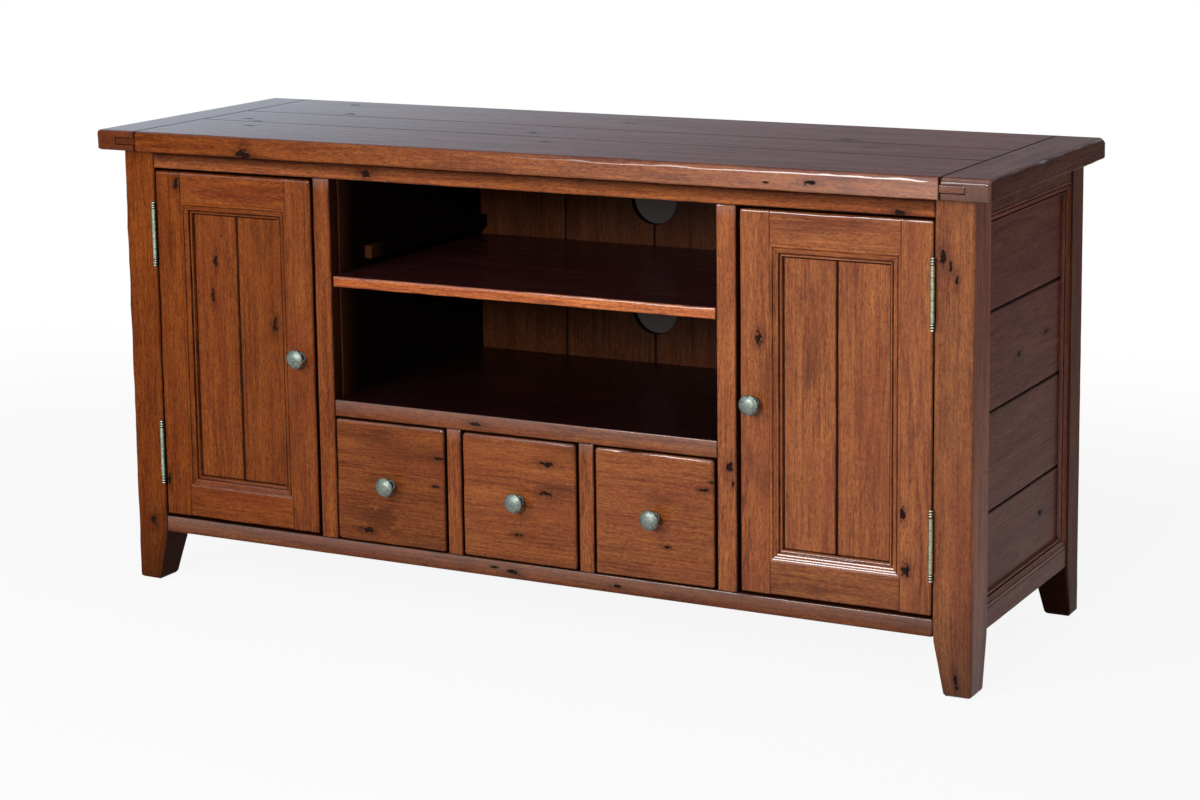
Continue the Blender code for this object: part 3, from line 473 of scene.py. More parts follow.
def knocks_group():
    """Small wormholes and short dents, scattered over the boards."""
    inputs = {"Grain": "NodeSocketVector", "Amount": "NodeSocketFloat"}
    tree, given, made = new_group("Scattered knocks", inputs, ("Knock",))
    found = []
    for scale, size in (((11.0, 15.0, 15.0), 0.026), ((9.0, 34.0, 34.0), 0.060)):
        cells = add_node(tree, "ShaderNodeTexVoronoi",
                         {"Vector": scaled(tree, given["Grain"], scale), "Scale": 1.0}).outputs
        draw = add_node(tree, "ShaderNodeSeparateColor", {0: cells["Color"]}).outputs[0]
        chosen = maths(tree, "LESS_THAN", draw, given["Amount"])
        blur = maths(tree, "SUBTRACT", clouds(tree, given["Grain"], (220.0, 330.0, 330.0)), 0.5)
        distance = maths(tree, "MULTIPLY_ADD", blur, size * 1.4, cells["Distance"])
        found.append(maths(tree, "MULTIPLY", stepped(tree, distance, size, size * 0.4), chosen))
    tree.links.new(maths(tree, "MAXIMUM", *found), made["Knock"])
    return tree


def glaze_group():
    """Dark glaze that was wiped into the edges, broken up along them."""
    tree, given, made = new_group("Glazed edges", {"Rim": "NodeSocketFloat", "Grain": "NodeSocketVector"},
                                  ("Glaze",))
    patchy = stepped(tree, clouds(tree, given["Grain"], (28.0, 60.0, 60.0), 3.0), 0.28, 0.68, 0.25, 1.0)
    tree.links.new(maths(tree, "MULTIPLY", maths(tree, "POWER", given["Rim"], 1.6), patchy), made["Glaze"])
    return tree


def patina_group():
    """Mottled patina of rubbed metal, darkest in the hollows."""
    tree, given, made = new_group("Patina", {"Grain": "NodeSocketVector", "Rim": "NodeSocketFloat"},
                                  ("Patina", "Height"))
    mottle = clouds(tree, given["Grain"], (330.0, 330.0, 330.0), 4.0)
    speckle = clouds(tree, given["Grain"], (1500.0, 1500.0, 1500.0))
    spread = maths(tree, "MULTIPLY_ADD", speckle, 0.35, mottle)
    worn = stepped(tree, spread, 0.48, 0.90)
    hollow = maths(tree, "MULTIPLY", given["Rim"], 0.75)
    patina = maths(tree, "ADD", maths(tree, "MULTIPLY", worn, 0.6), hollow, clamp=True)
    tree.links.new(patina, made["Patina"])
    tree.links.new(mottle, made["Height"])
    return tree


def shared_group(name, build):
    """A node group, built the first time that it is asked for."""
    return bpy.data.node_groups.get(name) or build()


# Materials

def attribute(tree, name):
    return add_node(tree, "ShaderNodeAttribute", attribute_name=name, attribute_type="GEOMETRY").outputs


def new_material(name):
    material = bpy.data.materials.new(name)
    material.use_nodes = True
    return material, material.node_tree, material.node_tree.nodes["Principled BSDF"]


def lacquered_pine(name, stripes, knocks, glazing, roughness, specular, coat):
    """Stained pine under lacquer. Its grain, glaze, tint and marks come from the board's own points."""
    colours = bpy.context.scene.console_colours
    material, tree, shader = new_material(name)
    place = attribute(tree, "grain")["Vector"]
    rim = attribute(tree, "rim")["Fac"]
    grain = use_group(tree, shared_group("Pine grain", pine_grain_group),
                      {"Grain": place, "Stripes": stripes})
    knocked = use_group(tree, shared_group("Scattered knocks", knocks_group),
                        {"Grain": place, "Amount": knocks})
    glazed = use_group(tree, shared_group("Glazed edges", glaze_group), {"Rim": rim, "Grain": place})
    pit, halo, ring = knocked["Knock"], 0.0, 0.0
    for count in range(1, MARK_COUNT + 1):
        mark = attribute(tree, f"mark_{count}")
        knot = use_group(tree, shared_group("Knot or nick", knot_group),
                         {"Grain": place, "Place": mark["Vector"], "Size": mark["Alpha"]})
        pit = maths(tree, "MAXIMUM", pit, knot["Pit"])
        halo = maths(tree, "MAXIMUM", knot["Halo"], halo)
        ring = maths(tree, "MAXIMUM", knot["Ring"], ring)

    wood = mixed(tree, grain["Tone"], colours.pine_deep, colours.pine_pale)
    stains = ((grain["Red"], 0.45, colours.pine_red), (grain["Pore"], 0.48, colours.pore),
              (grain["Smudge"], 0.50, colours.knot), (halo, 0.60, colours.knot),
              (ring, 0.55, colours.pine_pale))
    for cover, strength, stain in stains:
        wood = mixed(tree, maths(tree, "MULTIPLY", cover, strength), wood, stain)
    tint = attribute(tree, "tint")
    wood = mixed(tree, 1.0, wood, tint["Color"], "MULTIPLY")
    dark = maths(tree, "MAXIMUM", maths(tree, "MULTIPLY", pit, 0.98),
                 maths(tree, "MULTIPLY", glazed["Glaze"], glazing))
    tree.links.new(mixed(tree, dark, wood, colours.glaze), shader.inputs["Base Color"])

    gloss = maths(tree, "MULTIPLY", tint["Alpha"], maths(tree, "SUBTRACT", 1.0, pit))
    sheen = maths(tree, "MULTIPLY_ADD", grain["Tone"], -0.10, roughness + 0.30)
    sheen = maths(tree, "MULTIPLY_ADD", maths(tree, "MINIMUM", gloss, 1.0), -0.25, sheen)
    tree.links.new(sheen, shader.inputs["Roughness"])
    height = maths(tree, "MULTIPLY_ADD", pit, -1.0, grain["Height"])
    relief = stepped(tree, gloss, 2.5, 9.0, 0.6, 0.08)
    bump = add_node(tree, "ShaderNodeBump", {"Height": height, "Strength": relief, "Distance": 0.0011})
    tree.links.new(bump.outputs["Normal"], shader.inputs["Normal"])
    shader.inputs["Specular IOR Level"].default_value = specular
    tree.links.new(maths(tree, "MULTIPLY", gloss, coat, clamp=True), shader.inputs["Coat Weight"])
    tree.links.new(stepped(tree, gloss, 2.5, 9.0, 0.14, 0.165), shader.inputs["Coat Roughness"])
    shader.inputs["Coat IOR"].default_value = 2.0
    return material


def antique_pewter():
    """Rubbed pewter with a brownish green patina."""
    colours = bpy.context.scene.console_colours
    material, tree, shader = new_material("antique pewter")
    place = attribute(tree, "grain")["Vector"]
    aged = use_group(tree, shared_group("Patina", patina_group),
                     {"Grain": place, "Rim": attribute(tree, "rim")["Fac"]})
    metal = mixed(tree, aged["Patina"], colours.pewter, colours.patina)
    tint = attribute(tree, "tint")
    metal = mixed(tree, 1.0, metal, tint["Color"], "MULTIPLY")
    tree.links.new(metal, shader.inputs["Base Color"])
    rubbed = maths(tree, "MULTIPLY_ADD", tint["Alpha"], -0.16, 0.60)
    tree.links.new(maths(tree, "MULTIPLY_ADD", aged["Patina"], 0.18, rubbed), shader.inputs["Roughness"])
    bump = add_node(tree, "ShaderNodeBump", {"Height": aged["Height"], "Strength": 0.35, "Distance": 0.0005})
    tree.links.new(bump.outputs["Normal"], shader.inputs["Normal"])
    shader.inputs["Metallic"].default_value = 1.0
    return material


def background_rays(tree):
    """One for rays that look at the background: those from the camera, off gloss and through glass."""
    path = add_node(tree, "ShaderNodeLightPath").outputs
    seen = maths(tree, "MAXIMUM", path["Is Camera Ray"], path["Is Glossy Ray"])
    return maths(tree, "MAXIMUM", seen, path["Is Transmission Ray"])


def pale_floor():
    """Matt pale floor that takes the console's shadow and goes plain white further off."""
    stage = bpy.context.scene.console_stage
    material, tree, shader = new_material("pale floor")
    base = bpy.context.scene.console_colours.floor
    place = add_node(tree, "ShaderNodeTexCoord").outputs["Object"]
    lighter = [min(1.0, part * 1.03) for part in base]
    pale = mixed(tree, clouds(tree, place, (0.5, 0.5, 0.5)), base, lighter)
    tree.links.new(pale, shader.inputs["Base Color"])
    shader.inputs["Roughness"].default_value = 0.9
    shader.inputs["Specular IOR Level"].default_value = 0.1
    narrowed = scaled(tree, place, (0.7, 1.0, 1.0))
    distance = add_node(tree, "ShaderNodeVectorMath", {0: narrowed}, operation="LENGTH").outputs["Value"]
    whiteness = stepped(tree, distance, stage.white_from, stage.white_at, stage.white_near, 1.0)
    white = add_node(tree, "ShaderNodeEmission", {"Color": (1.0, 1.0, 1.0, 1.0), "Strength": 1.0})
    shown = maths(tree, "MULTIPLY", whiteness, background_rays(tree))
    mix = add_node(tree, "ShaderNodeMixShader", {0: shown, 1: shader.outputs[0], 2: white.outputs[0]})
    tree.links.new(mix.outputs[0], tree.nodes["Material Output"].inputs["Surface"])
    return material


def shaded_wall():
    """Dull grey of a wall in shadow, which is clear from behind."""
    material, tree, shader = new_material("shaded wall")
    place = add_node(tree, "ShaderNodeTexCoord").outputs["Object"]
    deep, pale = (0.0190, 0.0150, 0.0140), (0.0235, 0.0190, 0.0175)
    grey = mixed(tree, clouds(tree, place, (9.0, 9.0, 9.0)), deep, pale)
    tree.links.new(grey, shader.inputs["Base Color"])
    # The disc glows faintly with its grey, as painted light of a wall in shadow; it is no lamp.
    tree.links.new(grey, shader.inputs["Emission Color"])
    shader.inputs["Emission Strength"].default_value = 0.75
    shader.inputs["Roughness"].default_value = 0.9
    clear = add_node(tree, "ShaderNodeBsdfTransparent")
    behind = add_node(tree, "ShaderNodeNewGeometry").outputs["Backfacing"]
    mix = add_node(tree, "ShaderNodeMixShader", {0: behind, 1: shader.outputs[0], 2: clear.outputs[0]})
    tree.links.new(mix.outputs[0], tree.nodes["Material Output"].inputs["Surface"])
    return material


# Finish of the pine in each slot: strength of rings, knocks and glaze, then roughness, gloss and lacquer
PINES = {
    "pine_front": {"name": "front pine", "stripes": 0.22, "knocks": 0.16, "glazing": 0.94, "roughness": 0.34,
                   "specular": 0.03, "coat": 0.145},
    "pine_top": {"name": "top pine", "stripes": 0.24, "knocks": 0.22, "glazing": 0.94, "roughness": 0.30,
                 "specular": 0.03, "coat": 0.73},
    "pine_side": {"name": "side pine", "stripes": 0.24, "knocks": 0.18, "glazing": 0.94, "roughness": 0.40,
                  "specular": 0.03, "coat": 0.10},
    "pine_inside": {"name": "inside pine", "stripes": 0.30, "knocks": 0.18, "glazing": 0.85,
                    "roughness": 0.30, "specular": 0.06, "coat": 0.15},
}


def material_for(slot):
    """The material of a slot, made the first time that a piece needs it."""
    made = bpy.context.scene.get("console_materials", {})
    if slot not in made:
        material = lacquered_pine(**PINES[slot]) if slot in PINES else antique_pewter()
        bpy.context.scene["console_materials"] = {**dict(made), slot: material.name}
    return bpy.data.materials[bpy.context.scene["console_materials"][slot]]


# Pieces

class Dressing:
    """Points, faces and finish of one piece, gathered form by form."""

    def __init__(self, node=None):
        self.node = node
        self.points, self.faces = [], []
        self.grain, self.rim, self.tint = [], [], []
        self.marks = [[] for _ in range(MARK_COUNT)]

    def gather(self, form, finishes, marks=()):
        """Take a form in. A finish is a point's place in the grain, nearness to an edge, and glossy tint."""
        form.verts.index_update()
        start = len(self.points)
        for vertex, (grain, rim, tint) in zip(form.verts, finishes):
            self.points.append(vertex.co.copy())
            self.grain.append(grain)
            self.rim.append(rim)
            self.tint.append(tint)
        for face in form.faces:
            self.faces.append([start + vertex.index for vertex in face.verts])
        places = [*marks, *[FAR_AWAY] * MARK_COUNT]
        for column, place in zip(self.marks, places):
            column += [place] * len(form.verts)
        form.free()

    def make(self, name, slot, body=None):
        """Turn what was gathered into a piece that rides on a body and stands for its CAD node."""
        mesh = bpy.data.meshes.new(name)
        mesh.from_pydata(self.points, [], self.faces)
        self.write(mesh, "grain", "FLOAT_VECTOR", "vector", self.grain)
        self.write(mesh, "tint", "FLOAT_COLOR", "color", self.tint)
        for count, column in enumerate(self.marks, 1):
            self.write(mesh, f"mark_{count}", "FLOAT_COLOR", "color", column)
        rim = mesh.attributes.new("rim", "FLOAT", "POINT")
        rim.data.foreach_set("value", self.rim)
        mesh.polygons.foreach_set("use_smooth", [True] * len(mesh.polygons))
        mesh.set_sharp_from_angle(angle=SHARP_ANGLE)
        mesh.materials.append(material_for(slot))
        piece = bpy.data.objects.new(name, mesh)
        bpy.context.scene.collection.objects.link(piece)
        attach(piece, body or BODY_OF[self.node])
        if self.node:
            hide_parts(self.node)

    @staticmethod
    def write(mesh, name, kind, field, rows):
        layer = mesh.attributes.new(name, kind, "POINT")
        layer.data.foreach_set(field, [part for row in rows for part in row])


FACES = (("left", "right"), ("front", "back"), ("under", "over"))


def rounding(size, **faces):
    """Rounding of a board's six faces. An edge takes the smaller one of the two faces that meet there."""
    return [[faces.get(name, size) for name in pair] for pair in FACES]


class Board:
    """A squared board between two corners, with grain along one axis. Its calm faces have no dark rim."""

    def __init__(self, name, low, high, along, soft, tint, lines=None, calm=()):
        wood = bpy.context.scene.console_wood
        self.name, self.low, self.high = name, Vector(low), Vector(high)
        self.soft, self.tint, self.lines, self.calm = soft, tint, lines or {}, calm
        size = self.high - self.low
        others = sorted((axis for axis in range(3) if axis != along), key=lambda axis: -size[axis])
        self.order = (along, *others)
        draw = Random(name)
        self.shift = Vector((draw.uniform(0.0, 9.0), draw.uniform(-0.03, 0.03), draw.uniform(0.03, 0.08)))
        self.shade = draw.uniform(*BOARD_SHADE) * SHADES.get(name, 1.0)
        self.knocks = []
        for _ in range(int(size[along] / wood.knock_spacing) if wood.knock_spacing else 0):
            spot = Vector(draw.choice(pair) for pair in zip(self.low, self.high))
            spot[along] = draw.uniform(self.low[along], self.high[along])
            self.knocks.append((spot, draw.uniform(*KNOCK_REACH), draw.uniform(*KNOCK_DEPTH)))

    def in_grain(self, point):
        """A point's place along, across and through the grain, in metres."""
        middle = (self.low + self.high) / 2
        return Vector(point[axis] - middle[axis] for axis in self.order) + self.shift

    def marks(self, node):
        return [(*self.in_grain(mark[:3]), mark[3]) for mark in MARKS.get(self.name, MARKS.get(node, ()))]

    def places(self, axis):
        """Cuts along one axis: close by the rounded edges, beside the glazed rim, and evenly in between."""
        wood = bpy.context.scene.console_wood
        near, far = self.soft[axis]
        start, stop = self.low[axis], self.high[axis]
        places = {start, stop}
        for part in ROUNDING_CUTS:
            places |= {start + part * near, stop - part * far}
        first, last = start + near + wood.rim_width, stop - far - wood.rim_width
        if last - first > wood.rim_width:
            count = max(1, round((last - first) / wood.cut_pitch))
            places |= {first + (last - first) * step / count for step in range(count + 1)}
        places |= {place for place in self.lines.get(axis, ()) if start < place < stop}
        kept = []
        for place in sorted(places):
            if not kept or place - kept[-1] > LEAST_CUT:
                kept.append(place)
        return kept

    def worn(self, point):
        """Where a point of the squared board goes when the edges are rounded and knocked about."""
        near = []
        for axis in range(3):
            for end, edge in enumerate((self.low[axis], self.high[axis])):
                reach = self.soft[axis][end]
                gap = abs(point[axis] - edge)
                if reach and gap < reach * 0.999:
                    near.append((axis, edge, 1 if end == 0 else -1, gap / reach, reach))
        if len(near) < 2:
            return point
        wear = bpy.context.scene.console_wood.wear
        scale = 1.0 + wear * sum(strength * noise.noise(point * waves) for waves, strength in WEAR_WAVES)
        for spot, reach, depth in self.knocks:
            scale += depth * exp(-((point - spot).length / reach) ** 2)
        radius = min(reach for *_, reach in near) * max(scale, LEAST_WEAR)
        centre, out = point.copy(), Vector()
        for axis, edge, inward, part, _ in near:
            centre[axis] = edge + inward * radius
            out[axis] = -inward * (1.0 - part) * radius
        flat = bpy.context.scene.console_wood.edge_flatness
        return centre + out * (radius / sum(abs(part) ** flat for part in out) ** (1.0 / flat))

    def form(self):
        """The worn board as a fine closed mesh."""
        places = [self.places(axis) for axis in range(3)]
        last = [len(row) - 1 for row in places]
        form, grid = bmesh.new(), {}

        def corner(index):
            if index not in grid:
                point = Vector(places[axis][index[axis]] for axis in range(3))
                grid[index] = form.verts.new(self.worn(point))
            return grid[index]

        for axis in range(3):
            one, two = [other for other in range(3) if other != axis]
            for end in (0, last[axis]):
                for first in range(last[one]):
                    for second in range(last[two]):
                        loop = []
                        for a, b in ((0, 0), (1, 0), (1, 1), (0, 1)):
                            index = [0, 0, 0]
                            index[axis], index[one], index[two] = end, first + a, second + b
                            loop.append(corner(tuple(index)))
                        form.faces.new(loop)
        bmesh.ops.recalc_face_normals(form, faces=form.faces[:])
        return form

    def gap(self, point, axis, end):
        """A point's distance from one of the faces, or a large one where that face has no dark rim."""
        if FACES[axis][end] in self.calm:
            return 1.0
        return self.high[axis] - point[axis] if end else point[axis] - self.low[axis]

    def finish(self, point):
        """A point's place in the grain, nearness to an edge, and tint with gloss."""
        wood = bpy.context.scene.console_wood
        gaps = sorted(min(self.gap(point, axis, end) for end in (0, 1)) for axis in range(3))
        rim = 1.0 - faded(gaps[1], wood.rim_start, wood.rim_start + wood.rim_width)
        tint = self.tint(point) if callable(self.tint) else self.tint
        return self.in_grain(point), rim, shaded(tint, self.shade)

    def join(self, dressing, bend=None, cutters=()):
        """Add the board to a piece, with bores or notches cut out of it and its points bent into place."""
        form = self.form()
        for cutter in cutters:
            form = cut_out(form, cutter)
        finishes = [self.finish(vertex.co) for vertex in form.verts]
        if bend:
            for vertex in form.verts:
                vertex.co = bend(vertex.co)
        dressing.gather(form, finishes, self.marks(dressing.node))


def cut_out(form, cutter):
    """The form with a cutter's volume taken out of it."""
    items = []
    for source in (form, cutter):
        mesh = bpy.data.meshes.new("being cut")
        source.to_mesh(mesh)
        source.free()
        items.append(bpy.data.objects.new("being cut", mesh))
        bpy.context.scene.collection.objects.link(items[-1])
    modifier = items[0].modifiers.new("cut", "BOOLEAN")
    modifier.object = items[1]
    modifier.solver = "EXACT"
    result = bmesh.new()
    result.from_object(items[0], bpy.context.evaluated_depsgraph_get())
    for item in items:
        mesh = item.data
        bpy.data.objects.remove(item)
        bpy.data.meshes.remove(mesh)
    return result


def block_form(low, high):
    """A plain block, to cut with."""
    low, high = Vector(low), Vector(high)
    form = bmesh.new()
    size = Matrix.Diagonal((*(high - low), 1.0))
    bmesh.ops.create_cube(form, size=1.0, matrix=Matrix.Translation((low + high) / 2) @ size)
    return form


def glossy(tint, gloss=1.0):
    """A tint with its share of the lacquer's gloss as a fourth part."""
    return Vector((*tint, gloss))


def shaded(tint, shade):
    return [*(part * shade for part in tint[:3]), tint[3]]


def faded(value, start, stop):
    """How far a value has got from start to stop, from 0 to 1."""
    return min(max((value - start) / (stop - start), 0.0), 1.0)


def painted_floor_shade(point):
    """Painted shade: how much darker the wood is painted towards the floor, where less light falls."""
    return PAINTED_FLOOR_SHADE + (1.0 - PAINTED_FLOOR_SHADE) * faded(point.z, *FLOOR_FADE)


def end_tint(point):
    """The front's tint, which runs from golden at the left end to redder and glossier at the right. The left end
    is also painted darker, partly as painted shade.
    """
    colours = bpy.context.scene.console_colours
    part = faded(point.x, CAD_LOW.x, CAD_HIGH.x)
    tint = glossy(colours.left_tint, LEFT_GLOSS).lerp(glossy(colours.right_tint), part)
    return Vector(shaded(tint, painted_floor_shade(point)))


def board_tint(low, high, point):
    """The front's tint for a whole board, by its middle's place along the front and the point's height."""
    return end_tint(Vector(((low[X] + high[X]) / 2, 0.0, point.z)))


def gap_shade_tint():
    """Painted shade: the dull dark tint of what faces a gap, where shade falls."""
    return glossy(bpy.context.scene.console_colours.edge_tint, 0.0)


# Strength and gloss of the tint on the posts' outer sides
POST_SIDES = {"front": (1.28, 0.30), "rear": (0.46, 0.09)}


def post_tint(low, high, end, hand):
    """A post's tint: the front's on its face, duller on its outer side, and painted dark as shade on its inner
    sides.
    """
    strength, gloss = POST_SIDES[end]
    base, dark = Vector(bpy.context.scene.console_colours.post_tint) * strength, gap_shade_tint()

    def tint(point):
        side_depth = high.x - point.x if hand == "right" else point.x - low.x
        face_depth = point.y - low.y if end == "front" else high.y - point.y
        shown = board_tint(low, high, point)
        if side_depth > POST_SIDE_DEPTH:
            return shown.lerp(dark, faded(face_depth, *GAP_FADE))
        outer = glossy(base * painted_floor_shade(point), gloss * (3.0 - 2.0 * faded(point.z, *POST_GLOSS_FADE)))
        return shown.lerp(outer, faded(face_depth, *POST_SIDE_FADE))
    return tint


def gap_tint(low, high, shows, gathered=True):
    """A front board's tint on the faces that show, and a dull dark one on the edges that face a gap, which is
    painted shade.

    Lacquer is gathered along the upper edge unless a moulding lies on it.
    """
    dark = gap_shade_tint()
    depths = {"front": lambda point: point.y - low.y, "back": lambda point: high.y - point.y,
              "under": lambda point: point.z - low.z}

    def tint(point):
        depth = min(depths[face](point) for face in shows)
        shown = board_tint(low, high, point)
        if gathered:
            shown = edge_gloss(shown, high.z - point.z)
        return shown.lerp(dark, faded(depth, *GAP_FADE))
    return tint


def edge_gloss(tint, depth):
    """A tint with thicker lacquer where it gathers along an upper edge."""
    return glossy(tint[:3], tint[3] + GATHERED_GLOSS * (1.0 - faded(depth, *GATHERED_FADE)))


def side_tint(point):
    """The end panels' tint with its painted blue sheen, glossier lower down, where they mirror the floor."""
    gloss = SIDE_GLOSS_LOW + (SIDE_GLOSS_HIGH - SIDE_GLOSS_LOW) * faded(point.z, *SIDE_GLOSS_FADE)
    return glossy(bpy.context.scene.console_colours.side_tint, gloss)


def side_moulding_tint(point):
    """The tint of the mouldings round the end panels, which are rubbed paler than the panels."""
    plain = side_tint(point)
    return glossy(Vector(plain[:3]) * SIDE_MOULDING_STRENGTH, plain[3])


def top_rail_tint_with_shadow(low, high):
    """The top rail's tint, with a painted shadow in the corner under the top."""
    plain, dark = gap_tint(low, high, ("front",)), gap_shade_tint()
    return lambda point: dark.lerp(plain(point), faded(high.z - point.z, *UNDER_TOP_FADE))


def panel_tint(low, high, inset):
    """A door panel's tint, with a painted shadow line beside the moulding that is planted on it."""
    dark, line = gap_shade_tint(), bpy.context.scene.console_wood.panel_line

    def tint(point):
        inside = min(point.x - low.x, high.x - point.x, point.z - low.z, high.z - point.z) - inset
        behind = faded(point.y, low.y + LINE_FACE, high.y - LINE_BACK)
        return dark.lerp(board_tint(low, high, point), max(behind, faded(inside, line * LINE_FULL, line)))
    return tint


def plain_board(node, slot, along, soft, tint, box=None, calm=(), bend=None, cutters=()):
    """A worn board in place of a CAD node that is one board, in the node's box unless another is given."""
    low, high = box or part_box(node)
    dressing = Dressing(node)
    Board(node, low, high, along, soft, tint, calm=calm).join(dressing, bend, cutters)
    dressing.make(f"worn_{node}", slot)


def node_size(node, chosen):
    """Corners of the box round those points of a CAD node that are chosen."""
    points = [vertex.co for vertex in frame["nodes"][node].data.vertices if chosen(vertex.co)]
    low = Vector(min(point[axis] for point in points) for axis in range(3))
    high = Vector(max(point[axis] for point in points) for axis in range(3))
    return low, high


def split_boards(dressing, node, low, high, axis, cuts, along, soft, tint, gap, strip, lines=None):
    """Boards side by side between two corners, with a strip set back behind each gap and painted dark as the
    shade in it.

    The strip is given as the depths at which it starts and stops along its own axis. Lines are further cuts.
    """
    edges = [low[axis], *cuts, high[axis]]
    for count, (start, stop) in enumerate(zip(edges, edges[1:])):
        first, second = low.copy(), high.copy()
        first[axis] = start + (gap / 2 if count else 0.0)
        second[axis] = stop - (gap / 2 if count < len(cuts) else 0.0)
        Board(f"{node} {count}", first, second, along, soft, tint, lines=lines).join(dressing)
    depth_axis, inner, outer = strip
    for count, cut in enumerate(cuts):
        first, second = low.copy(), high.copy()
        first[axis], second[axis] = cut - gap / 2 + FIT / 2, cut + gap / 2 - FIT / 2
        first[depth_axis], second[depth_axis] = inner, outer
        Board(f"{node} strip {count}", first, second, along, rounding(FIT), gap_shade_tint()).join(dressing)


def moulding_section(depth):
    """The moulding's section: distance in from its outer edge, height over the panel, and share of glaze."""
    wood = bpy.context.scene.console_wood
    step, groove = 0.0007, 0.0016
    inner = wood.moulding_width - wood.bead_width
    slope = inner - groove - wood.fillet_width
    start, stop = depth - step, wood.bead_height * 1.1
    edge = wood.fillet_width
    points = [(0.0, 0.0, 0.5), (0.0, depth - FIT, 0.1), (edge * 0.4, depth - FIT, 0.0),
              (edge * 0.75, depth - step * 0.6, 0.1), (edge, depth - step * 1.4, 0.5),
              (edge + FIT, start - 2 * step, 1.0), (edge + 3 * FIT, start - 2 * step, 1.0)]
    for count in range(1, 9):
        part = count / 8
        drop = (start - stop) * (1.0 - cos(pi * part)) / 2
        glaze = max(0.5 * (1.0 - part) ** 6, 0.8 * part ** 12)
        points.append((edge + 4 * FIT + (slope - 4 * FIT) * part, start - drop, glaze))
    quirk = wood.quirk_height
    points += [(inner - groove + FIT, quirk + FIT, 1.0), (inner - groove + 2 * FIT, quirk, 1.0),
               (inner, quirk, 1.0)]
    for count in range(1, 8):
        turn = pi * count / 8
        across = inner + wood.bead_width / 2 - cos(turn) * (wood.bead_width / 2 - FIT)
        glaze = 0.05 + 0.95 * abs(cos(turn)) ** 8
        points.append((across, quirk + sin(turn) * (wood.bead_height - quirk), glaze))
    points += [(wood.moulding_width - FIT, quirk * 0.5, 1.0), (wood.moulding_width, 0.0, 1.0)]
    return points


# Lowest length of a moulding: bruising in metres, and the share of its glaze that is left. The glaze in a
# moulding's hollows is partly painted shade, so less of it is left on this upward-facing length, where light
# falls
LOWEST_BRUISING, LOWEST_GLAZE = 0.0001, 0.30

# Other lengths of a moulding: bruising in metres, and gloss
BRUISING, MOULDING_GLOSS = 0.0007, 0.8

# Waves of bruising to the metre, least gloss of a bead, and reach in metres and strength of a mitre's glaze
BRUISE_WAVES = 40.0
BEAD_GLOSS = 3.2
MITRE_REACH, MITRE_GLAZE = 0.0025, 0.8

# Where a moulding is steep, as a share of its width, and how far on either side its lacquer is dull
STEEP_AT = 0.47
STEEP_FADE = (0.0016, 0.0007)


def moulding_ring(node, slot, across, facing, tint_at, lowest_gloss):
    """Four mitred lengths of moulding round a panel, in place of a CAD moulding.

    The lowest length is the glossiest and least bruised. Its steep middle is left dull.
    """
    wood = bpy.context.scene.console_wood
    low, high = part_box(node)
    size, centre = high - low, (low + high) / 2
    depth = abs(size.dot(facing))
    width, height = abs(size.dot(across)), size.z
    centre = centre - facing * depth / 2
    section = moulding_section(depth)
    corner = across * width / 2 + UP * height / 2
    fallen = across * width / 2 - UP * height / 2
    lengths = ((-corner, across, UP, width), (fallen, UP, -across, height),
               (corner, -across, -UP, width), (-fallen, -UP, across, height))
    dressing = Dressing(node)
    for count, (start, way, inward, run) in enumerate(lengths):
        draw = Random(f"{node} {count}")
        shift = Vector((draw.uniform(0.0, 9.0), draw.uniform(-0.02, 0.02), draw.uniform(0.03, 0.06)))
        shade = draw.uniform(0.92, 1.08)
        gloss, bruising, wiped = MOULDING_GLOSS, BRUISING, 1.0
        if count == 0:
            gloss, bruising, wiped = lowest_gloss, LOWEST_BRUISING, LOWEST_GLAZE
        cuts = max(2, round(run / wood.cut_pitch))
        end = MITRE_REACH / run
        parts = [0.0, end, *[step / cuts for step in range(1, cuts)], 1.0 - end, 1.0]
        form, rows, finishes = bmesh.new(), [], []
        for part in parts:
            row = []
            mitre = max(0.0, 1.0 - min(part, 1.0 - part) / end)
            for across_it, raised, glaze in section:
                along = across_it + part * (run - 2 * across_it)
                point = centre + start + way * along + inward * across_it + facing * raised
                rough = noise.noise(point * BRUISE_WAVES + UP * 7.0 * count)
                bruise = max(0.0, rough) * bruising
                if raised > wood.quirk_height * 1.2:
                    point -= facing * bruise
                row.append(form.verts.new(point))
                on_bead = across_it > wood.moulding_width - wood.bead_width
                lacquer = max(gloss, BEAD_GLOSS) if on_bead else gloss
                steep = faded(abs(across_it - STEEP_AT * wood.moulding_width), *STEEP_FADE)
                lacquer += (min(lacquer, MOULDING_GLOSS) - lacquer) * steep
                tint = glossy(shaded(tint_at(point), shade)[:3], tint_at(point)[3] * lacquer)
                place = shift + Vector((along, across_it, raised))
                finishes.append((place, max(glaze * wiped, MITRE_GLAZE * mitre), tint))
            rows.append(row)
        total = len(section)
        for here, there in zip(rows, rows[1:]):
            for k in range(total):
                n = (k + 1) % total
                form.faces.new((here[k], here[n], there[n], there[k]))
        form.faces.new(rows[0])
        form.faces.new(rows[-1][::-1])
        bmesh.ops.recalc_face_normals(form, faces=form.faces[:])
        dressing.gather(form, finishes)
    dressing.make(f"worn_{node}", slot)


# Where the far side's painted shade fades and the front's painted highlight starts, as sines of a turn, and how
# bright that is
FAR_SIDE_SHADE_FADE = (-0.72, -0.35)
FRONT_HIGHLIGHT_FADE = (0.78, 0.98)
FRONT_HIGHLIGHT_GAIN = 0.9


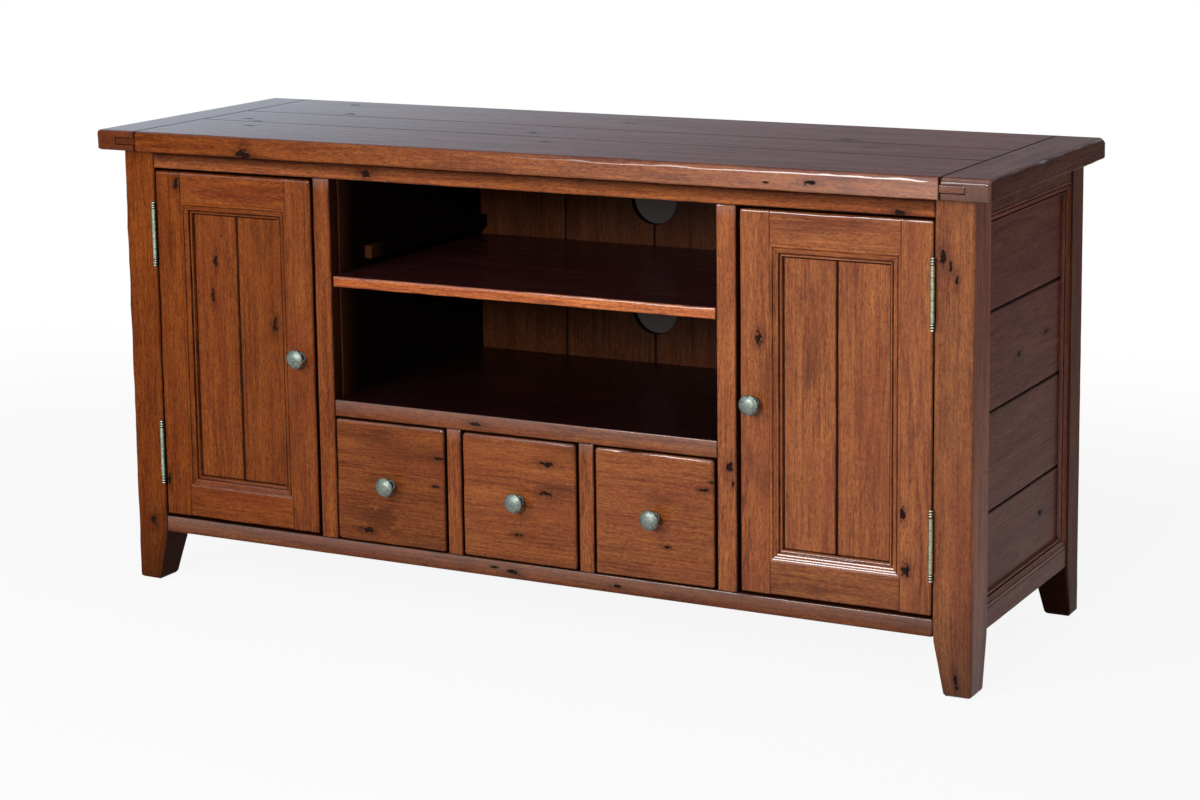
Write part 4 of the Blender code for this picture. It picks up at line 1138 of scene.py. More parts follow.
def turned_form(profile, steps, place, tint, painted_shading=0.0, ring=False):
    """A closed turning round Z through (radius, height, glaze) points from its top to its foot.

    The share after the tint is painted shade on its far side, where it lies close to the wood, and a painted
    highlight on its front. A ring's profile comes back to its start.
    """
    form, rows, glazes, tints = bmesh.new(), [], [], []
    for radius, height, glaze in profile:
        count = steps if radius else 1
        row = []
        for step in range(count):
            turn = 2 * pi * step / count
            row.append(form.verts.new((radius * cos(turn), radius * sin(turn), height)))
            # Painted shade on the far side, and a painted highlight on the front
            glazes.append(max(glaze, painted_shading * faded(sin(turn), *FAR_SIDE_SHADE_FADE)))
            tints.append(Vector(tint) * (1.0 + FRONT_HIGHLIGHT_GAIN * painted_shading * faded(-sin(turn), *FRONT_HIGHLIGHT_FADE)))
        rows.append(row)
    for here, there in zip(rows, [*rows[1:], *rows[:1]] if ring else rows[1:]):
        for k in range(steps):
            n = (k + 1) % steps
            loop = [here[k % len(here)], there[k % len(there)], there[n % len(there)], here[n % len(here)]]
            form.faces.new(list(dict.fromkeys(loop)))
    bmesh.ops.recalc_face_normals(form, faces=form.faces[:])
    bmesh.ops.transform(form, matrix=place, verts=form.verts[:])
    gloss = 2.0 if painted_shading else 1.0
    finishes = [(vertex.co.copy(), glaze, glossy(shown, gloss))
                for vertex, glaze, shown in zip(form.verts, glazes, tints)]
    return form, finishes


def arc(centre_radius, centre_height, radius, start, stop, steps, glaze):
    """Points of a profile's round stretch, between two turns from straight up."""
    turns = [start + (stop - start) * step / steps for step in range(steps + 1)]
    return [(max(0.0, centre_radius + radius * sin(turn)), centre_height + radius * cos(turn), glaze)
            for turn in turns]


def knob_profile(head, reach, metal):
    """A low dome with a rounded rim, an undercut, a dark neck and a moulded foot, from the top down."""
    dome, rim = reach * metal.knob_dome, head * 0.10
    neck, foot = head * metal.knob_neck, head * metal.knob_foot
    crown, face = reach - dome, head - rim
    ball = (dome ** 2 + face ** 2) / (2 * dome)
    points = []
    for step in range(9):
        across = face * step / 8
        points.append((across, reach - ball + (ball ** 2 - across ** 2) ** 0.5, 0.45 * (step / 8) ** 6))
    points += arc(face, crown - rim, rim, 0.14 * pi, 0.9 * pi, 7, 0.45)
    points += [(head * 0.72, crown - 2.6 * rim, 0.9), (neck * 1.3, crown - 3.6 * rim, 1.0)]
    points += [(neck, crown - 4.8 * rim, 1.0), (neck, reach * 0.30, 1.0), (neck * 1.12, reach * 0.23, 0.8)]
    points += arc(foot * 0.80, reach * 0.09, foot * 0.20, -0.25 * pi, 0.8 * pi, 7, 0.0)
    points += [(foot, 0.0, 0.9), (0.0, 0.0, 1.0)]
    return points


def tip_profile(barrel, tip):
    """A hinge's turned tip above its barrel: a rounded cap and its rim over two rings, from the top down."""
    thick = tip * 0.085
    points = [(0.0, tip, 0.0), (barrel * 0.45, tip * 0.98, 0.0), (barrel * 0.80, tip * 0.925, 0.0)]
    for level, size in ((0.83, 1.0), (0.52, 1.10), (0.22, 1.0)):
        centre = barrel * size - thick
        points += arc(centre, tip * level, thick, 0.10 * pi, 0.90 * pi, 6, 0.0)
        points += [(centre * 0.66, tip * (level - 0.10), 1.0), (centre * 0.66, tip * (level - 0.195), 1.0)]
    points += [(barrel * 0.70, tip * 0.02, 1.0)]
    return points


def knuckle_profile(barrel, low, high):
    """One knuckle of a hinge, with its ends eased, from the top down."""
    ease = barrel * 0.03
    return [(barrel - ease, high, 0.2), (barrel, high - ease, 0.0), (barrel, high - 8 * ease, 0.0),
            (barrel, low + 8 * ease, 0.0), (barrel, low + ease, 0.0), (barrel - ease, low, 0.2)]


# Operators

class ConsoleStep:
    """What every operator of the console shares."""

    bl_options = {"REGISTER", "UNDO"}

    @property
    def wood(self):
        return bpy.context.scene.console_wood

    @property
    def colours(self):
        return bpy.context.scene.console_colours

    @property
    def metal(self):
        return bpy.context.scene.console_metal


class ConsolePosts(ConsoleStep, bpy.types.Operator):
    """Corner posts with worn outer corners and tapered feet"""

    bl_idname = "console.posts"
    bl_label = "Corner posts"

    def execute(self, context):
        foot_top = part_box("front_bottom_rail")[0].z
        for hand in SIDES:
            for end, face in (("front", "front"), ("rear", "back")):
                self.post(end, hand, face, foot_top)
        return {"FINISHED"}

    def post(self, end, hand, face, foot_top):
        node = f"{end}_post_{hand}"
        low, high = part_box(node)
        worn = self.wood.post_rounding
        soft = rounding(self.wood.edge_rounding, **{hand: worn, face: worn, "under": worn})
        foot_low, foot_high = node_size(node, lambda point: point.z < worn)

        def tapered(point):
            """Draw the foot in towards the post's outer faces."""
            if point.z >= foot_top:
                return point
            down = 1.0 - point.z / foot_top
            lowest = max(0.0, 1.0 - point.z / self.wood.foot_ease)
            inset = self.wood.foot_rounding * (1.0 - (1.0 - lowest ** 2) ** 0.5)
            moved = point.copy()
            for axis in (X, Y):
                part = (point[axis] - low[axis]) / (high[axis] - low[axis])
                narrow = foot_low[axis] + part * (foot_high[axis] - foot_low[axis])
                moved[axis] = point[axis] + down * (narrow - point[axis]) + inset * (1.0 - 2.0 * part)
            return moved

        plain_board(node, "pine_front", Z, soft, post_tint(low, high, end, hand), bend=tapered)


class ConsoleFrontFrame(ConsoleStep, bpy.types.Operator):
    """Rails, uprights and drawer dividers of the front frame"""

    bl_idname = "console.front_frame"
    bl_label = "Front frame"

    def execute(self, context):
        soft = rounding(self.wood.edge_rounding)
        plain_board("front_top_rail", "pine_front", X, soft, top_rail_tint_with_shadow(*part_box("front_top_rail")))
        lowest = gap_tint(*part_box("front_bottom_rail"), ("front", "under"))
        plain_board("front_bottom_rail", "pine_front", X, soft, lowest)
        for hand in SIDES:
            wear = self.wood.stile_wear
            left, right = (wear, wear * 0.7) if hand == "left" else (0.0, wear)
            self.upright(f"front_stile_{hand}", left, right, soft)
            self.upright(f"drawer_divider_{hand}", 0.0, self.wood.divider_wear, soft)
        return {"FINISHED"}

    def upright(self, node, left, right, soft):
        """An upright, worn back on either side beside the doors and drawers."""
        low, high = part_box(node)
        low.x += left
        high.x -= right
        plain_board(node, "pine_front", Z, soft, gap_tint(low, high, ("front",)), (low, high))


class ConsoleSides(ConsoleStep, bpy.types.Operator):
    """Side rails, boarded panels and the mouldings round them"""

    bl_idname = "console.sides"
    bl_label = "Sides"

    def execute(self, context):
        soft = rounding(self.wood.edge_rounding)
        for hand, side in SIDES.items():
            for level in ("top", "bottom"):
                plain_board(f"side_{level}_rail_{hand}", "pine_side", Y, soft, side_tint)
            node = f"side_panel_{hand}"
            low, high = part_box(node)
            cuts, level = [], high.z - self.wood.side_board
            while level > low.z + self.wood.moulding_width:
                cuts.insert(0, level)
                level -= self.wood.side_board
            face, back = (high.x, low.x) if side > 0 else (low.x, high.x)
            strip = (X, *sorted((face - side * self.wood.seam_depth, back + side * FIT)))
            dressing = Dressing(node)
            split_boards(dressing, node, low, high, Z, cuts, Y, soft, side_tint, self.wood.seam_gap, strip)
            dressing.make(f"worn_{node}", "pine_side")
            across, facing = Vector((0.0, side, 0.0)), Vector((side, 0.0, 0.0))
            moulding_ring(f"side_moulding_{hand}", "pine_side", across, facing, side_moulding_tint,
                          self.wood.side_moulding_gloss)
        return {"FINISHED"}


class ConsoleInside(ConsoleStep, bpy.types.Operator):
    """Partitions, floors and shelf cleats inside the case"""

    bl_idname = "console.inside"
    bl_label = "Inside boards"

    def execute(self, context):
        soft = rounding(self.wood.edge_rounding)
        for hand in SIDES:
            low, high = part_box(f"partition_{hand}")
            far_side = low.x if hand == "left" else high.x
            plain_board(f"partition_{hand}", "pine_inside", Z, soft, partition_tint(low, far_side))
            plain_board(f"shelf_cleat_{hand}", "pine_inside", Y, soft, glossy(self.colours.inside_tint))
            self.spare_cleat(hand, soft)
        self.niche_floor()
        self.cabinet_floor()
        return {"FINISHED"}

    def spare_cleat(self, hand, soft):
        """A second cleat above the shelf, for setting it higher."""
        low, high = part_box(f"shelf_cleat_{hand}")
        lift = UP * (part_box("niche_shelf")[1].z + self.wood.spare_cleat_lift - low.z)
        dressing = Dressing()
        Board(f"spare cleat {hand}", low + lift, high + lift, Y, soft, partition_tint(low)).join(dressing)
        dressing.make(f"spare_shelf_cleat_{hand}", "pine_inside", "case")

    def niche_floor(self):
        """The niche's floor, painted dark on top as shade, whose front edge is finished like the front frame."""
        plain_board("niche_floor", "pine_inside", X, rounding(self.wood.edge_rounding),
                    front_edge_tint(*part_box("niche_floor")))

    def cabinet_floor(self):
        """The bottom board, notched round the four posts."""
        tint, cutters = glossy(self.colours.inside_tint), []
        for hand in SIDES:
            for end in ("front", "rear"):
                post_low, post_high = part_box(f"{end}_post_{hand}")
                room = Vector((FIT, FIT, 1.0))
                cutters.append(block_form(post_low - room, post_high + room))
        plain_board("cabinet_floor", "pine_inside", X, rounding(FIT), tint, cutters=cutters)


def front_edge_tint(low, high):
    """A tint that is the front's on a board's front edge, and painted dark as shade behind it."""
    dark = glossy(bpy.context.scene.console_colours.inside_tint)

    def tint(point):
        shown = edge_gloss(end_tint(point), high.z - point.z)
        return shown.lerp(dark, faded(point.y - low.y, *FRONT_EDGE_FADE))
    return tint


def partition_tint(low, far_side=None):
    """The tint of what closes the niche in, painted dark as the shade in the niche: paler close behind its front
    edge, where light reaches in, and away from the niche.
    """
    colours = bpy.context.scene.console_colours
    pale, dark = glossy(colours.back_tint, 0.1), glossy(colours.partition_tint, 0.1)

    def tint(point):
        inner = 1.0 if far_side is None else faded(abs(point.x - far_side), *FAR_SIDE_FADE)
        return pale.lerp(dark, inner * faded(point.y - low.y, *NICHE_FADE))
    return tint


def cable_hole_levels():
    """Heights of the two cable holes, each halfway up its part of the niche."""
    shelf_low, shelf_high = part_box("niche_shelf")
    return (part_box("niche_floor")[1].z + shelf_low.z) / 2, (shelf_high.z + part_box("front_top_rail")[0].z) / 2


class ConsoleBack(ConsoleStep, bpy.types.Operator):
    """Upright planks of the back, with two cable holes"""

    bl_idname = "console.back"
    bl_label = "Planked back"

    def execute(self, context):
        node = "back_panel"
        low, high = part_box(node)
        levels = cable_hole_levels()
        count, gap = self.wood.back_planks, self.wood.seam_gap
        soft, tint = rounding(self.wood.edge_rounding), glossy(self.colours.back_tint, 0.2)
        dressing = Dressing(node)
        reach = self.wood.cable_hole / 2
        for step in range(count):
            first, second = low.copy(), high.copy()
            first.x = low.x + (high.x - low.x) * step / count + (gap / 2 if step else 0.0)
            second.x = low.x + (high.x - low.x) * (step + 1) / count - (gap / 2 if step < count - 1 else 0.0)
            holed = first.x < reach and second.x > -reach
            cutters = [self.bore(level, low, high) for level in levels] if holed else []
            Board(f"{node} {step}", first, second, Z, soft, tint).join(dressing, cutters=cutters)
            if step:
                self.strip(dressing, first.x - gap / 2, low, high, levels, reach)
        for level in levels:
            self.lining(dressing, level, low, high, reach)
        dressing.make(f"worn_{node}", "pine_inside")
        return {"FINISHED"}

    def lining(self, dressing, level, low, high, reach):
        """The wall of a bore, painted dark as shade."""
        depth = high.y - low.y
        wall = [(reach - FIT / 3, 0.0, 1.0), (reach - FIT / 3, depth, 1.0),
                (reach - 3 * FIT, depth, 1.0), (reach - 3 * FIT, 0.0, 1.0)]
        place = Matrix.Translation((0.0, high.y, level)) @ Matrix.Rotation(pi / 2, 4, "X")
        form, finishes = turned_form(wall, HOLE_STEPS, place, self.colours.glaze, ring=True)
        dressing.gather(form, [(grain, rim, gap_shade_tint()) for grain, rim, _ in finishes])

    def bore(self, level, low, high):
        form = bmesh.new()
        middle = Vector((0.0, (low.y + high.y) / 2, level))
        bmesh.ops.create_cone(form, cap_ends=True, segments=HOLE_STEPS, radius1=self.wood.cable_hole / 2,
                              radius2=self.wood.cable_hole / 2, depth=4 * (high.y - low.y),
                              matrix=Matrix.Translation(middle) @ Matrix.Rotation(pi / 2, 4, "X"))
        return form

    def strip(self, dressing, across, low, high, levels, reach):
        """The tongue that shows behind the gap between two planks, painted dark as the shade in the gap."""
        half, depth = self.wood.seam_gap / 2 - FIT / 2, self.wood.seam_depth
        first = Vector((across - half, low.y + depth, low.z))
        second = Vector((across + half, high.y - depth, high.z))
        cutters = [self.bore(level, low, high) for level in levels] if abs(across) < reach else []
        strip = Board(f"back strip {across:.3f}", first, second, Z, rounding(FIT), gap_shade_tint())
        strip.join(dressing, cutters=cutters)


class ConsoleTop(ConsoleStep, bpy.types.Operator):
    """Three lengthwise boards with a tongue at each end, and the cross boards on the tongues"""

    bl_idname = "console.table_top"
    bl_label = "Table top"

    def execute(self, context):
        wood = self.wood
        low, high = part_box("table_top")
        reach, middle = CROSS_BOARD_AT - wood.end_joint, (low.z + high.z) / 2
        cuts = (low.y + wood.front_board, low.y + wood.front_board + wood.middle_board)
        edges = (low.y, *cuts, high.y)
        dressing = Dressing("table_top")
        for count, (start, stop) in enumerate(zip(edges, edges[1:])):
            first = Vector((-reach, start + (wood.top_seam_gap / 2 if count else 0.0), low.z))
            second = Vector((reach, stop - (wood.top_seam_gap / 2 if count < 2 else 0.0), high.z))
            over, under = wood.top_rounding, wood.under_rounding
            faces = {"over": over, "under": under}
            faces.update({"front": over} if count == 0 else {"back": over} if count == 2 else {})
            Board(f"table_top {count}", first, second, X, rounding(wood.edge_rounding * 0.8, **faces),
                  top_face_tint).join(dressing)
        # Strips under the seams of the top, painted dark as the shade in the gaps
        for count, cut in enumerate(cuts):
            half = wood.top_seam_gap / 2 - FIT / 2
            Board(f"top strip {count}", (-reach, cut - half, low.z + wood.seam_depth),
                  (reach, cut + half, high.z - wood.top_seam_gap * 2), X, rounding(FIT / 3),
                  gap_shade_tint()).join(dressing)
        for side in SIDES.values():
            near, far = sorted((side * (reach + FIT), side * high.x))
            Board(f"tongue {side}", (near, low.y + wood.tongue_setback, middle - wood.tongue / 2),
                  (far, high.y - wood.tongue_setback, middle + wood.tongue / 2), X,
                  rounding(wood.edge_rounding * 0.6), tongue_tint).join(dressing)
        dressing.make("worn_table_top", "pine_top")
        for hand, side in SIDES.items():
            self.end_board(hand, side, high.x, middle)
        return {"FINISHED"}

    def end_board(self, hand, side, tongue_reach, middle):
        wood = self.wood
        node = f"breadboard_end_{hand}"
        low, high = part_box(node)
        faces = {hand: wood.top_rounding, "front": wood.top_rounding, "back": wood.top_rounding,
                 "over": wood.top_rounding, "under": wood.under_rounding}
        groove = wood.tongue / 2 + 2 * FIT
        inner, outer = sorted((side * (tongue_reach + 2 * FIT), side * (tongue_reach - 1.0)))
        clear = 0.1
        cutter = block_form((inner, low.y - clear, middle - groove),
                            (outer, high.y + clear, middle + groove))
        plain_board(node, "pine_top", Y, rounding(wood.edge_rounding, **faces), cross_board_tint,
                    cutters=[cutter])


def top_face_tint(point):
    """The front's tint on the top's edges, and the darker one of its upper face. Its ends are painted dark as
    shade, and the joints beside the cross boards as the shade in the gaps.
    """
    colours = bpy.context.scene.console_colours
    end = glossy(Vector(colours.side_tint) * TOP_END_STRENGTH, 0.0)
    edge = end_tint(point).lerp(end, faded(CAD_HIGH.x - abs(point.x), *END_FACE_FADE))
    sheen = TOP_GLOSS + TOP_GLOSS_GAIN * faded(point.x, CAD_HIGH.x, CAD_LOW.x) ** 2
    along = faded(point.x, CAD_LOW.x, CAD_HIGH.x)
    edge = glossy(Vector(edge[:3]) * (1.0 + TOP_EDGE_SHEEN_GAIN * along ** 3),
                  edge[3] * (TOP_EDGE_GLOSS + TOP_EDGE_GLOSS_GAIN * along ** 2))
    beside_joint = faded(abs(abs(point.x) - CROSS_BOARD_AT + JOINT_SETBACK), *END_JOINT_FADE)
    in_front = 1.0 - faded(point.y - CAD_LOW.y, *FRONT_JOINT_FADE)
    edge = gap_shade_tint().lerp(edge, max(beside_joint, in_front))
    return glossy(colours.top_tint, sheen).lerp(edge, faded(CAD_HIGH.z - point.z, *UPPER_FACE_FADE))


def tongue_tint(point):
    """The tint of the tongues, whose end grain is duller than the boards beside it, with a painted blue sheen.
    """
    plain = end_tint(point)
    stained = [part * strength for part, strength in zip(plain, TONGUE_STRENGTH)]
    return glossy(stained, plain[3] * 0.5)


def cross_board_tint(point):
    """The tint of a cross board, whose end grain has taken more stain, with a painted blue sheen towards the
    right end.
    """
    plain, colours = top_face_tint(point), bpy.context.scene.console_colours
    part = faded(CAD_HIGH.y - abs(point.y), *END_GRAIN_FADE)
    along = faded(point.x, CAD_LOW.x, CAD_HIGH.x)
    stained = glossy(colours.left_end_grain, 0.1).lerp(glossy(colours.end_grain, 0.5), along)
    return plain.lerp(stained, part * 0.8)


class ConsoleShelf(ConsoleStep, bpy.types.Operator):
    """Loose shelf in the niche"""

    bl_idname = "console.shelf"
    bl_label = "Shelf"

    def execute(self, context):
        worn = self.wood.shelf_rounding
        soft = rounding(self.wood.edge_rounding, front=worn, over=worn, under=worn)
        plain_board("niche_shelf", "pine_inside", X, soft, front_edge_tint(*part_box("niche_shelf")))
        return {"FINISHED"}


class ConsoleDoors(ConsoleStep, bpy.types.Operator):
    """Framed doors with two-board panels and planted mouldings"""

    bl_idname = "console.doors"
    bl_label = "Doors"

    def execute(self, context):
        soft = rounding(self.wood.edge_rounding)
        for hand in SIDES:
            self.frame(hand)
            node = f"{hand}_door_panel"
            low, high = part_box(node)
            strip = (Y, low.y + self.wood.seam_depth, high.y - FIT)
            dressing = Dressing(node)
            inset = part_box(f"{hand}_door_moulding")[0].x + self.wood.moulding_width - low.x
            line = self.wood.panel_line
            steps = (inset, inset + line * LINE_FULL, inset + line)
            lines = {axis: [place for step in steps for place in (low[axis] + step, high[axis] - step)]
                     for axis in (X, Z)}
            split_boards(dressing, node, low, high, X, [(low.x + high.x) / 2], Z, soft,
                         panel_tint(low, high, inset), self.wood.seam_gap, strip, lines)
            dressing.make(f"worn_{node}", "pine_front")
            across, facing = Vector((1.0, 0.0, 0.0)), Vector((0.0, -1.0, 0.0))
            moulding_ring(f"{hand}_door_moulding", "pine_front", across, facing, end_tint,
                          self.wood.door_moulding_gloss)
        return {"FINISHED"}

    def frame(self, hand):
        """Stiles and rails. The lock edge and the top are worn back. The edges by the moulding are calm."""
        other = "right" if hand == "left" else "left"
        boards = {"hinge_stile": (Z, hand, other), "lock_stile": (Z, other, hand),
                  "top_rail": (X, "over", "under"), "bottom_rail": (X, "under", "over")}
        for name, (along, outer, inner) in boards.items():
            node = f"{hand}_door_{name}"
            low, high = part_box(node)
            if name != "bottom_rail":
                high.z -= self.wood.door_wear
            if name == "lock_stile" and hand == "left":
                high.x -= self.wood.door_wear
            elif name == "lock_stile":
                low.x += self.wood.door_wear
            worn = self.wood.door_rounding
            faces = {"front": worn, "over": worn, outer: worn, inner: FIT}
            soft = rounding(self.wood.edge_rounding, **faces)
            tint = gap_tint(low, high, ("front", "back"), name != "bottom_rail")
            plain_board(node, "pine_front", along, soft, tint, (low, high), (inner,))


class ConsoleDrawers(ConsoleStep, bpy.types.Operator):
    """Drawer fronts with rounded edges, and the boxes behind them"""

    bl_idname = "console.drawers"
    bl_label = "Drawers"

    def execute(self, context):
        worn = self.wood.drawer_rounding
        soft = rounding(worn, back=self.wood.edge_rounding)
        for drawer in DRAWERS:
            node = f"{drawer}_front"
            low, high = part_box(node)
            low.x -= self.wood.drawer_growth
            high -= Vector((self.wood.drawer_wear, 0.0, self.wood.drawer_sag))
            plain_board(node, "pine_front", X, soft, gap_tint(low, high, ("front", "back")), (low, high))
            self.box(f"{drawer}_box")
        return {"FINISHED"}

    def box(self, node):
        """Two sides, a back between them, and a bottom."""
        low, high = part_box(node)
        wall, floor = self.wood.drawer_wall, low.z + self.wood.drawer_bottom
        inner_low, inner_high = low.x + wall, high.x - wall
        boards = {
            "left side": (low, (inner_low, high.y, high.z), Y),
            "right side": ((inner_high, low.y, low.z), high, Y),
            "back": ((inner_low, high.y - wall, floor), (inner_high, high.y, high.z), X),
            "bottom": ((inner_low, low.y, low.z), (inner_high, high.y, floor), X),
        }
        soft, tint = rounding(self.wood.edge_rounding / 2), glossy(self.colours.box_tint, 0.2)
        dressing = Dressing(node)
        for name, (first, second, along) in boards.items():
            Board(f"{node} {name}", first, second, along, soft, tint).join(dressing)
        dressing.make(f"worn_{node}", "pine_inside")


class ConsoleKnobs(ConsoleStep, bpy.types.Operator):
    """Turned pewter knobs of the doors and drawers"""

    bl_idname = "console.knobs"
    bl_label = "Knobs"

    def execute(self, context):
        for carrier in ("left_door", "right_door", *DRAWERS):
            node = f"{carrier}_knob"
            low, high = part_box(node)
            head = self.metal.knob_spread * (high.x - low.x) / 2
            profile = knob_profile(head, high.y - low.y, self.metal)
            spot = Vector(((low.x + high.x) / 2, high.y, (low.z + high.z) / 2))
            place = Matrix.Translation(spot) @ Matrix.Rotation(pi / 2, 4, "X")
            dressing = Dressing(node)
            dressing.gather(*turned_form(profile, self.metal.turning_steps, place, self.colours.knob_tint))
            dressing.make(f"turned_{node}", "pewter")
        return {"FINISHED"}


class ConsoleHinges(ConsoleStep, bpy.types.Operator):
    """Butt hinges with ringed barrels and ball tips"""

    bl_idname = "console.hinges"
    bl_label = "Hinges"

    def execute(self, context):
        for hand in SIDES:
            for level in ("upper", "lower"):
                post_leaf, door_leaf = (f"{hand}_{level}_hinge_{leaf}_leaf" for leaf in ("post", "door"))
                self.leaf(post_leaf, post_leaf, 0)
                self.leaf(door_leaf, post_leaf, 1)
        return {"FINISHED"}

    def leaf(self, node, barrel_node, first):
        """One leaf with every second knuckle. The leaf on the post also has the turned tips."""
        low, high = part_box(barrel_node)
        room, tip = (high.x - low.x) / 2, self.metal.tip_length
        barrel = room * self.metal.barrel_width
        foot, run = low.z + tip, high.z - low.z - 2 * tip
        axis = Vector(((low.x + high.x) / 2, low.y + room, foot))
        pitch = run / self.metal.knuckles
        # Painted reflection: the left hinges get a cooler, paler tint
        tint = self.colours.left_hinge_tint if node.startswith("left") else self.colours.hinge_tint
        dressing = Dressing(node)
        for count in range(first, self.metal.knuckles, 2):
            bottom = count * pitch + (FIT / 2 if count else 0.0)
            top = (count + 1) * pitch - (FIT / 2 if count < self.metal.knuckles - 1 else 0.0)
            profile = [(0.0, top, 1.0), *knuckle_profile(barrel, bottom, top), (0.0, bottom, 1.0)]
            place = Matrix.Translation(axis)
            dressing.gather(*turned_form(profile, self.metal.turning_steps, place, tint, 1.0))
        if first == 0:
            for turn, level in ((0.0, run), (pi, 0.0)):
                profile = [*tip_profile(barrel, tip), (0.0, tip * 0.02, 1.0)]
                place = Matrix.Translation(axis + UP * level) @ Matrix.Rotation(turn, 4, "Y")
                dressing.gather(*turned_form(profile, self.metal.turning_steps, place,
                                             self.colours.tip_tint, 0.8))
        self.plate(dressing, node, axis, room, tint)
        dressing.make(f"turned_{node}", "pewter")

    def plate(self, dressing, node, axis, room, tint):
        """The flat leaf let into the edge of the door or post, behind the barrel."""
        low, high = node_size(node, lambda point: point.y > axis.y + room * 1.2)
        low.y = axis.y + room * self.metal.barrel_width
        form = Board(f"{node} plate", low, high, Z, rounding(self.metal.leaf_thickness * 0.3), None).form()
        finishes = [(vertex.co.copy(), 0.6, glossy(tint)) for vertex in form.verts]
        dressing.gather(form, finishes)


# Width and height of each lamp, where it stands and where it points, in metres
KEY_LAMP_SIZE, KEY_LAMP_SPOT, KEY_LAMP_AIM = (0.6, 0.6), (0.6, -4.1, 1.5), (0.0, -0.2, 0.35)
EDGE_LAMP_SIZE, EDGE_LAMP_SPOT, EDGE_LAMP_AIM = (1.0, 1.2), (-0.72, -2.50, 1.68), (0.1, -0.2, 0.45)

# How far the dark discs lie inside the back of the cable holes, in metres
DISC_SETBACK = 0.001

# Width of the camera's sensor, in millimetres
SENSOR_WIDTH = 36.0


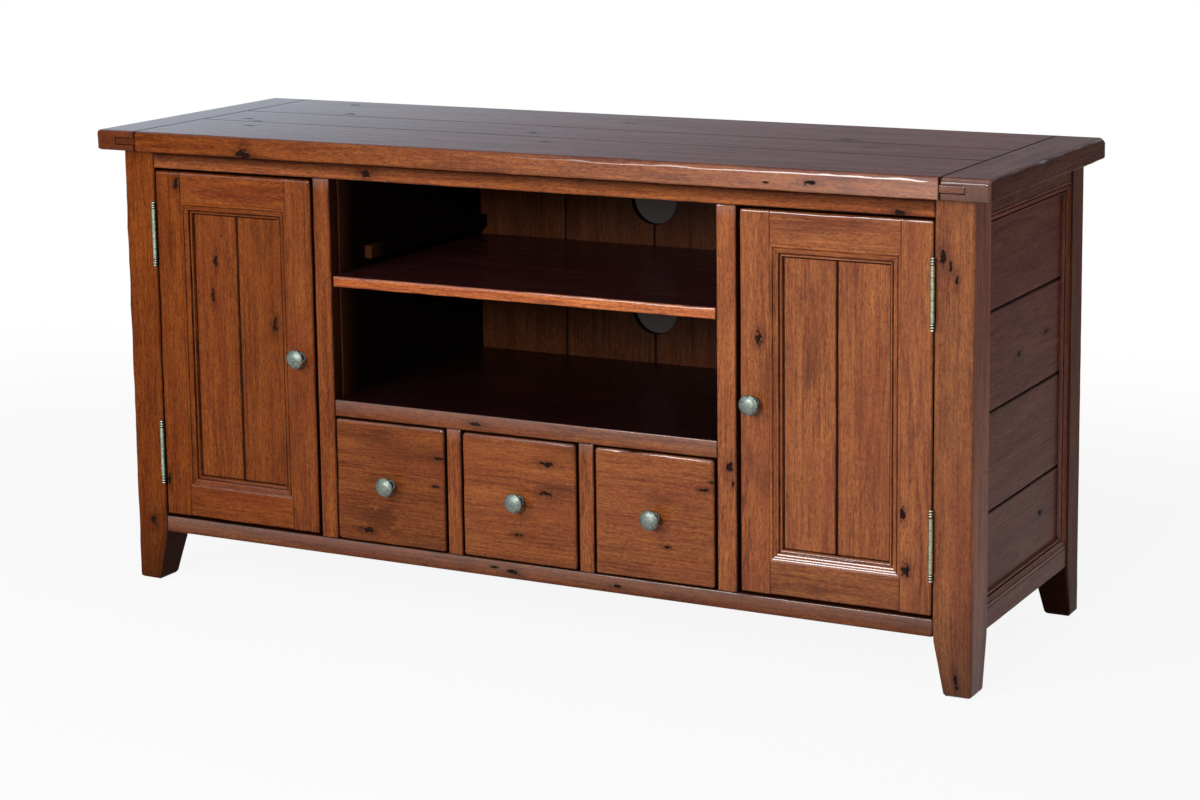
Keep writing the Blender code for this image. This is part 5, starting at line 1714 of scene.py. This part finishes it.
class ConsoleStudio(ConsoleStep, bpy.types.Operator):
    """Pale floor, soft lamps and the camera"""

    bl_idname = "console.studio"
    bl_label = "Floor, lamps and camera"

    def execute(self, context):
        scene = context.scene
        stage = scene.console_stage
        scene.view_settings.view_transform = "Standard"
        self.floor(stage)
        self.shade_card()
        self.sky(scene, stage)
        self.lamp("key lamp", stage.key_power, KEY_LAMP_SIZE, KEY_LAMP_SPOT, KEY_LAMP_AIM)
        self.lamp("edge lamp", stage.edge_power, EDGE_LAMP_SIZE, EDGE_LAMP_SPOT, EDGE_LAMP_AIM)
        self.camera(scene, stage)
        return {"FINISHED"}

    def floor(self, stage):
        form = bmesh.new()
        bmesh.ops.create_grid(form, x_segments=8, y_segments=8, size=stage.floor_size)
        self.stage_piece("studio_floor", form, pale_floor())

    def shade_card(self):
        """A dark disc in the back of each cable hole, like a wall in shadow, which is clear from behind."""
        form, radius = bmesh.new(), self.wood.cable_hole / 2 - 2 * FIT
        for level in cable_hole_levels():
            spot = Vector((0.0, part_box("back_panel")[1].y - DISC_SETBACK, level))
            bmesh.ops.create_circle(form, cap_ends=True, segments=HOLE_STEPS, radius=radius,
                                    matrix=Matrix.Translation(spot) @ Matrix.Rotation(pi / 2, 4, "X"))
        self.stage_piece("shade_card", form, shaded_wall())

    def stage_piece(self, name, form, material):
        """A mesh that belongs to the stage and not to the console."""
        mesh = bpy.data.meshes.new(name)
        form.to_mesh(mesh)
        form.free()
        mesh.materials.append(material)
        piece = bpy.data.objects.new(name, mesh)
        bpy.context.scene.collection.objects.link(piece)
        piece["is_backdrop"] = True

    def sky(self, scene, stage):
        world = bpy.data.worlds.new("studio sky")
        world.use_nodes = True
        tree = world.node_tree
        background = tree.nodes["Background"]
        path = add_node(tree, "ShaderNodeLightPath").outputs
        tone = mixed(tree, path["Is Glossy Ray"], (0.92, 0.96, 1.0), (0.72, 0.86, 1.0))
        tree.links.new(mixed(tree, path["Is Camera Ray"], tone, (1.0, 1.0, 1.0)), background.inputs["Color"])
        strength = maths(tree, "MULTIPLY_ADD", background_rays(tree), 1.0 - stage.sky, stage.sky)
        tree.links.new(strength, background.inputs["Strength"])
        scene.world = world

    def lamp(self, name, power, size, spot, aim):
        light = bpy.data.lights.new(name, "AREA")
        light.shape = "RECTANGLE"
        light.size, light.size_y = size
        light.energy = power
        lamp = bpy.data.objects.new(name, light)
        lamp.location = spot
        lamp.rotation_euler = (Vector(aim) - Vector(spot)).to_track_quat("-Z", "Y").to_euler()
        bpy.context.scene.collection.objects.link(lamp)

    def camera(self, scene, stage):
        data = bpy.data.cameras.new("camera")
        data.lens = stage.lens
        data.sensor_width = SENSOR_WIDTH
        data.shift_y = stage.shift
        camera = bpy.data.objects.new("camera", data)
        level = cos(stage.dip)
        ahead = Vector((-sin(stage.turn) * level, cos(stage.turn) * level, -sin(stage.dip)))
        right = Vector((cos(stage.turn), sin(stage.turn), 0.0))
        over = right.cross(ahead)
        right, over = (cos(stage.roll) * right + sin(stage.roll) * over,
                       cos(stage.roll) * over - sin(stage.roll) * right)
        turn = Matrix((right, over, -ahead)).transposed().to_4x4()
        camera.matrix_world = Matrix.Translation(stage.spot) @ turn
        scene.collection.objects.link(camera)
        scene.camera = camera


STEPS = (ConsolePosts, ConsoleFrontFrame, ConsoleSides, ConsoleInside, ConsoleBack, ConsoleTop, ConsoleShelf,
         ConsoleDoors, ConsoleDrawers, ConsoleKnobs, ConsoleHinges, ConsoleStudio)
SETTINGS = {"console_wood": ConsoleWood, "console_metal": ConsoleMetal, "console_colours": ConsoleColours,
            "console_stage": ConsoleStage}


class ConsolePanel(bpy.types.Panel):
    """Settings and steps of the console"""

    bl_idname = "VIEW3D_PT_console"
    bl_label = "Pine Media Console"
    bl_space_type = "VIEW_3D"
    bl_region_type = "UI"
    bl_category = "Console"

    def draw(self, context):
        for name, group in SETTINGS.items():
            box = self.layout.box()
            settings = getattr(context.scene, name)
            for item in group.__annotations__:
                box.prop(settings, item)
        for step in STEPS:
            self.layout.operator(step.bl_idname)


def register():
    for group in SETTINGS.values():
        bpy.utils.register_class(group)
    for name, group in SETTINGS.items():
        setattr(bpy.types.Scene, name, PointerProperty(type=group))
    for step in STEPS:
        bpy.utils.register_class(step)
    bpy.utils.register_class(ConsolePanel)


def unregister():
    bpy.utils.unregister_class(ConsolePanel)
    for step in reversed(STEPS):
        bpy.utils.unregister_class(step)
    for name in SETTINGS:
        delattr(bpy.types.Scene, name)
    for group in reversed(list(SETTINGS.values())):
        bpy.utils.unregister_class(group)


def main():
    register()
    bpy.ops.console.posts()
    bpy.ops.console.front_frame()
    bpy.ops.console.sides()
    bpy.ops.console.inside()
    bpy.ops.console.back()
    bpy.ops.console.table_top()
    bpy.ops.console.shelf()
    bpy.ops.console.doors()
    bpy.ops.console.drawers()
    bpy.ops.console.knobs()
    bpy.ops.console.hinges()
    bpy.ops.console.studio()


if __name__ == "__main__":
    main()
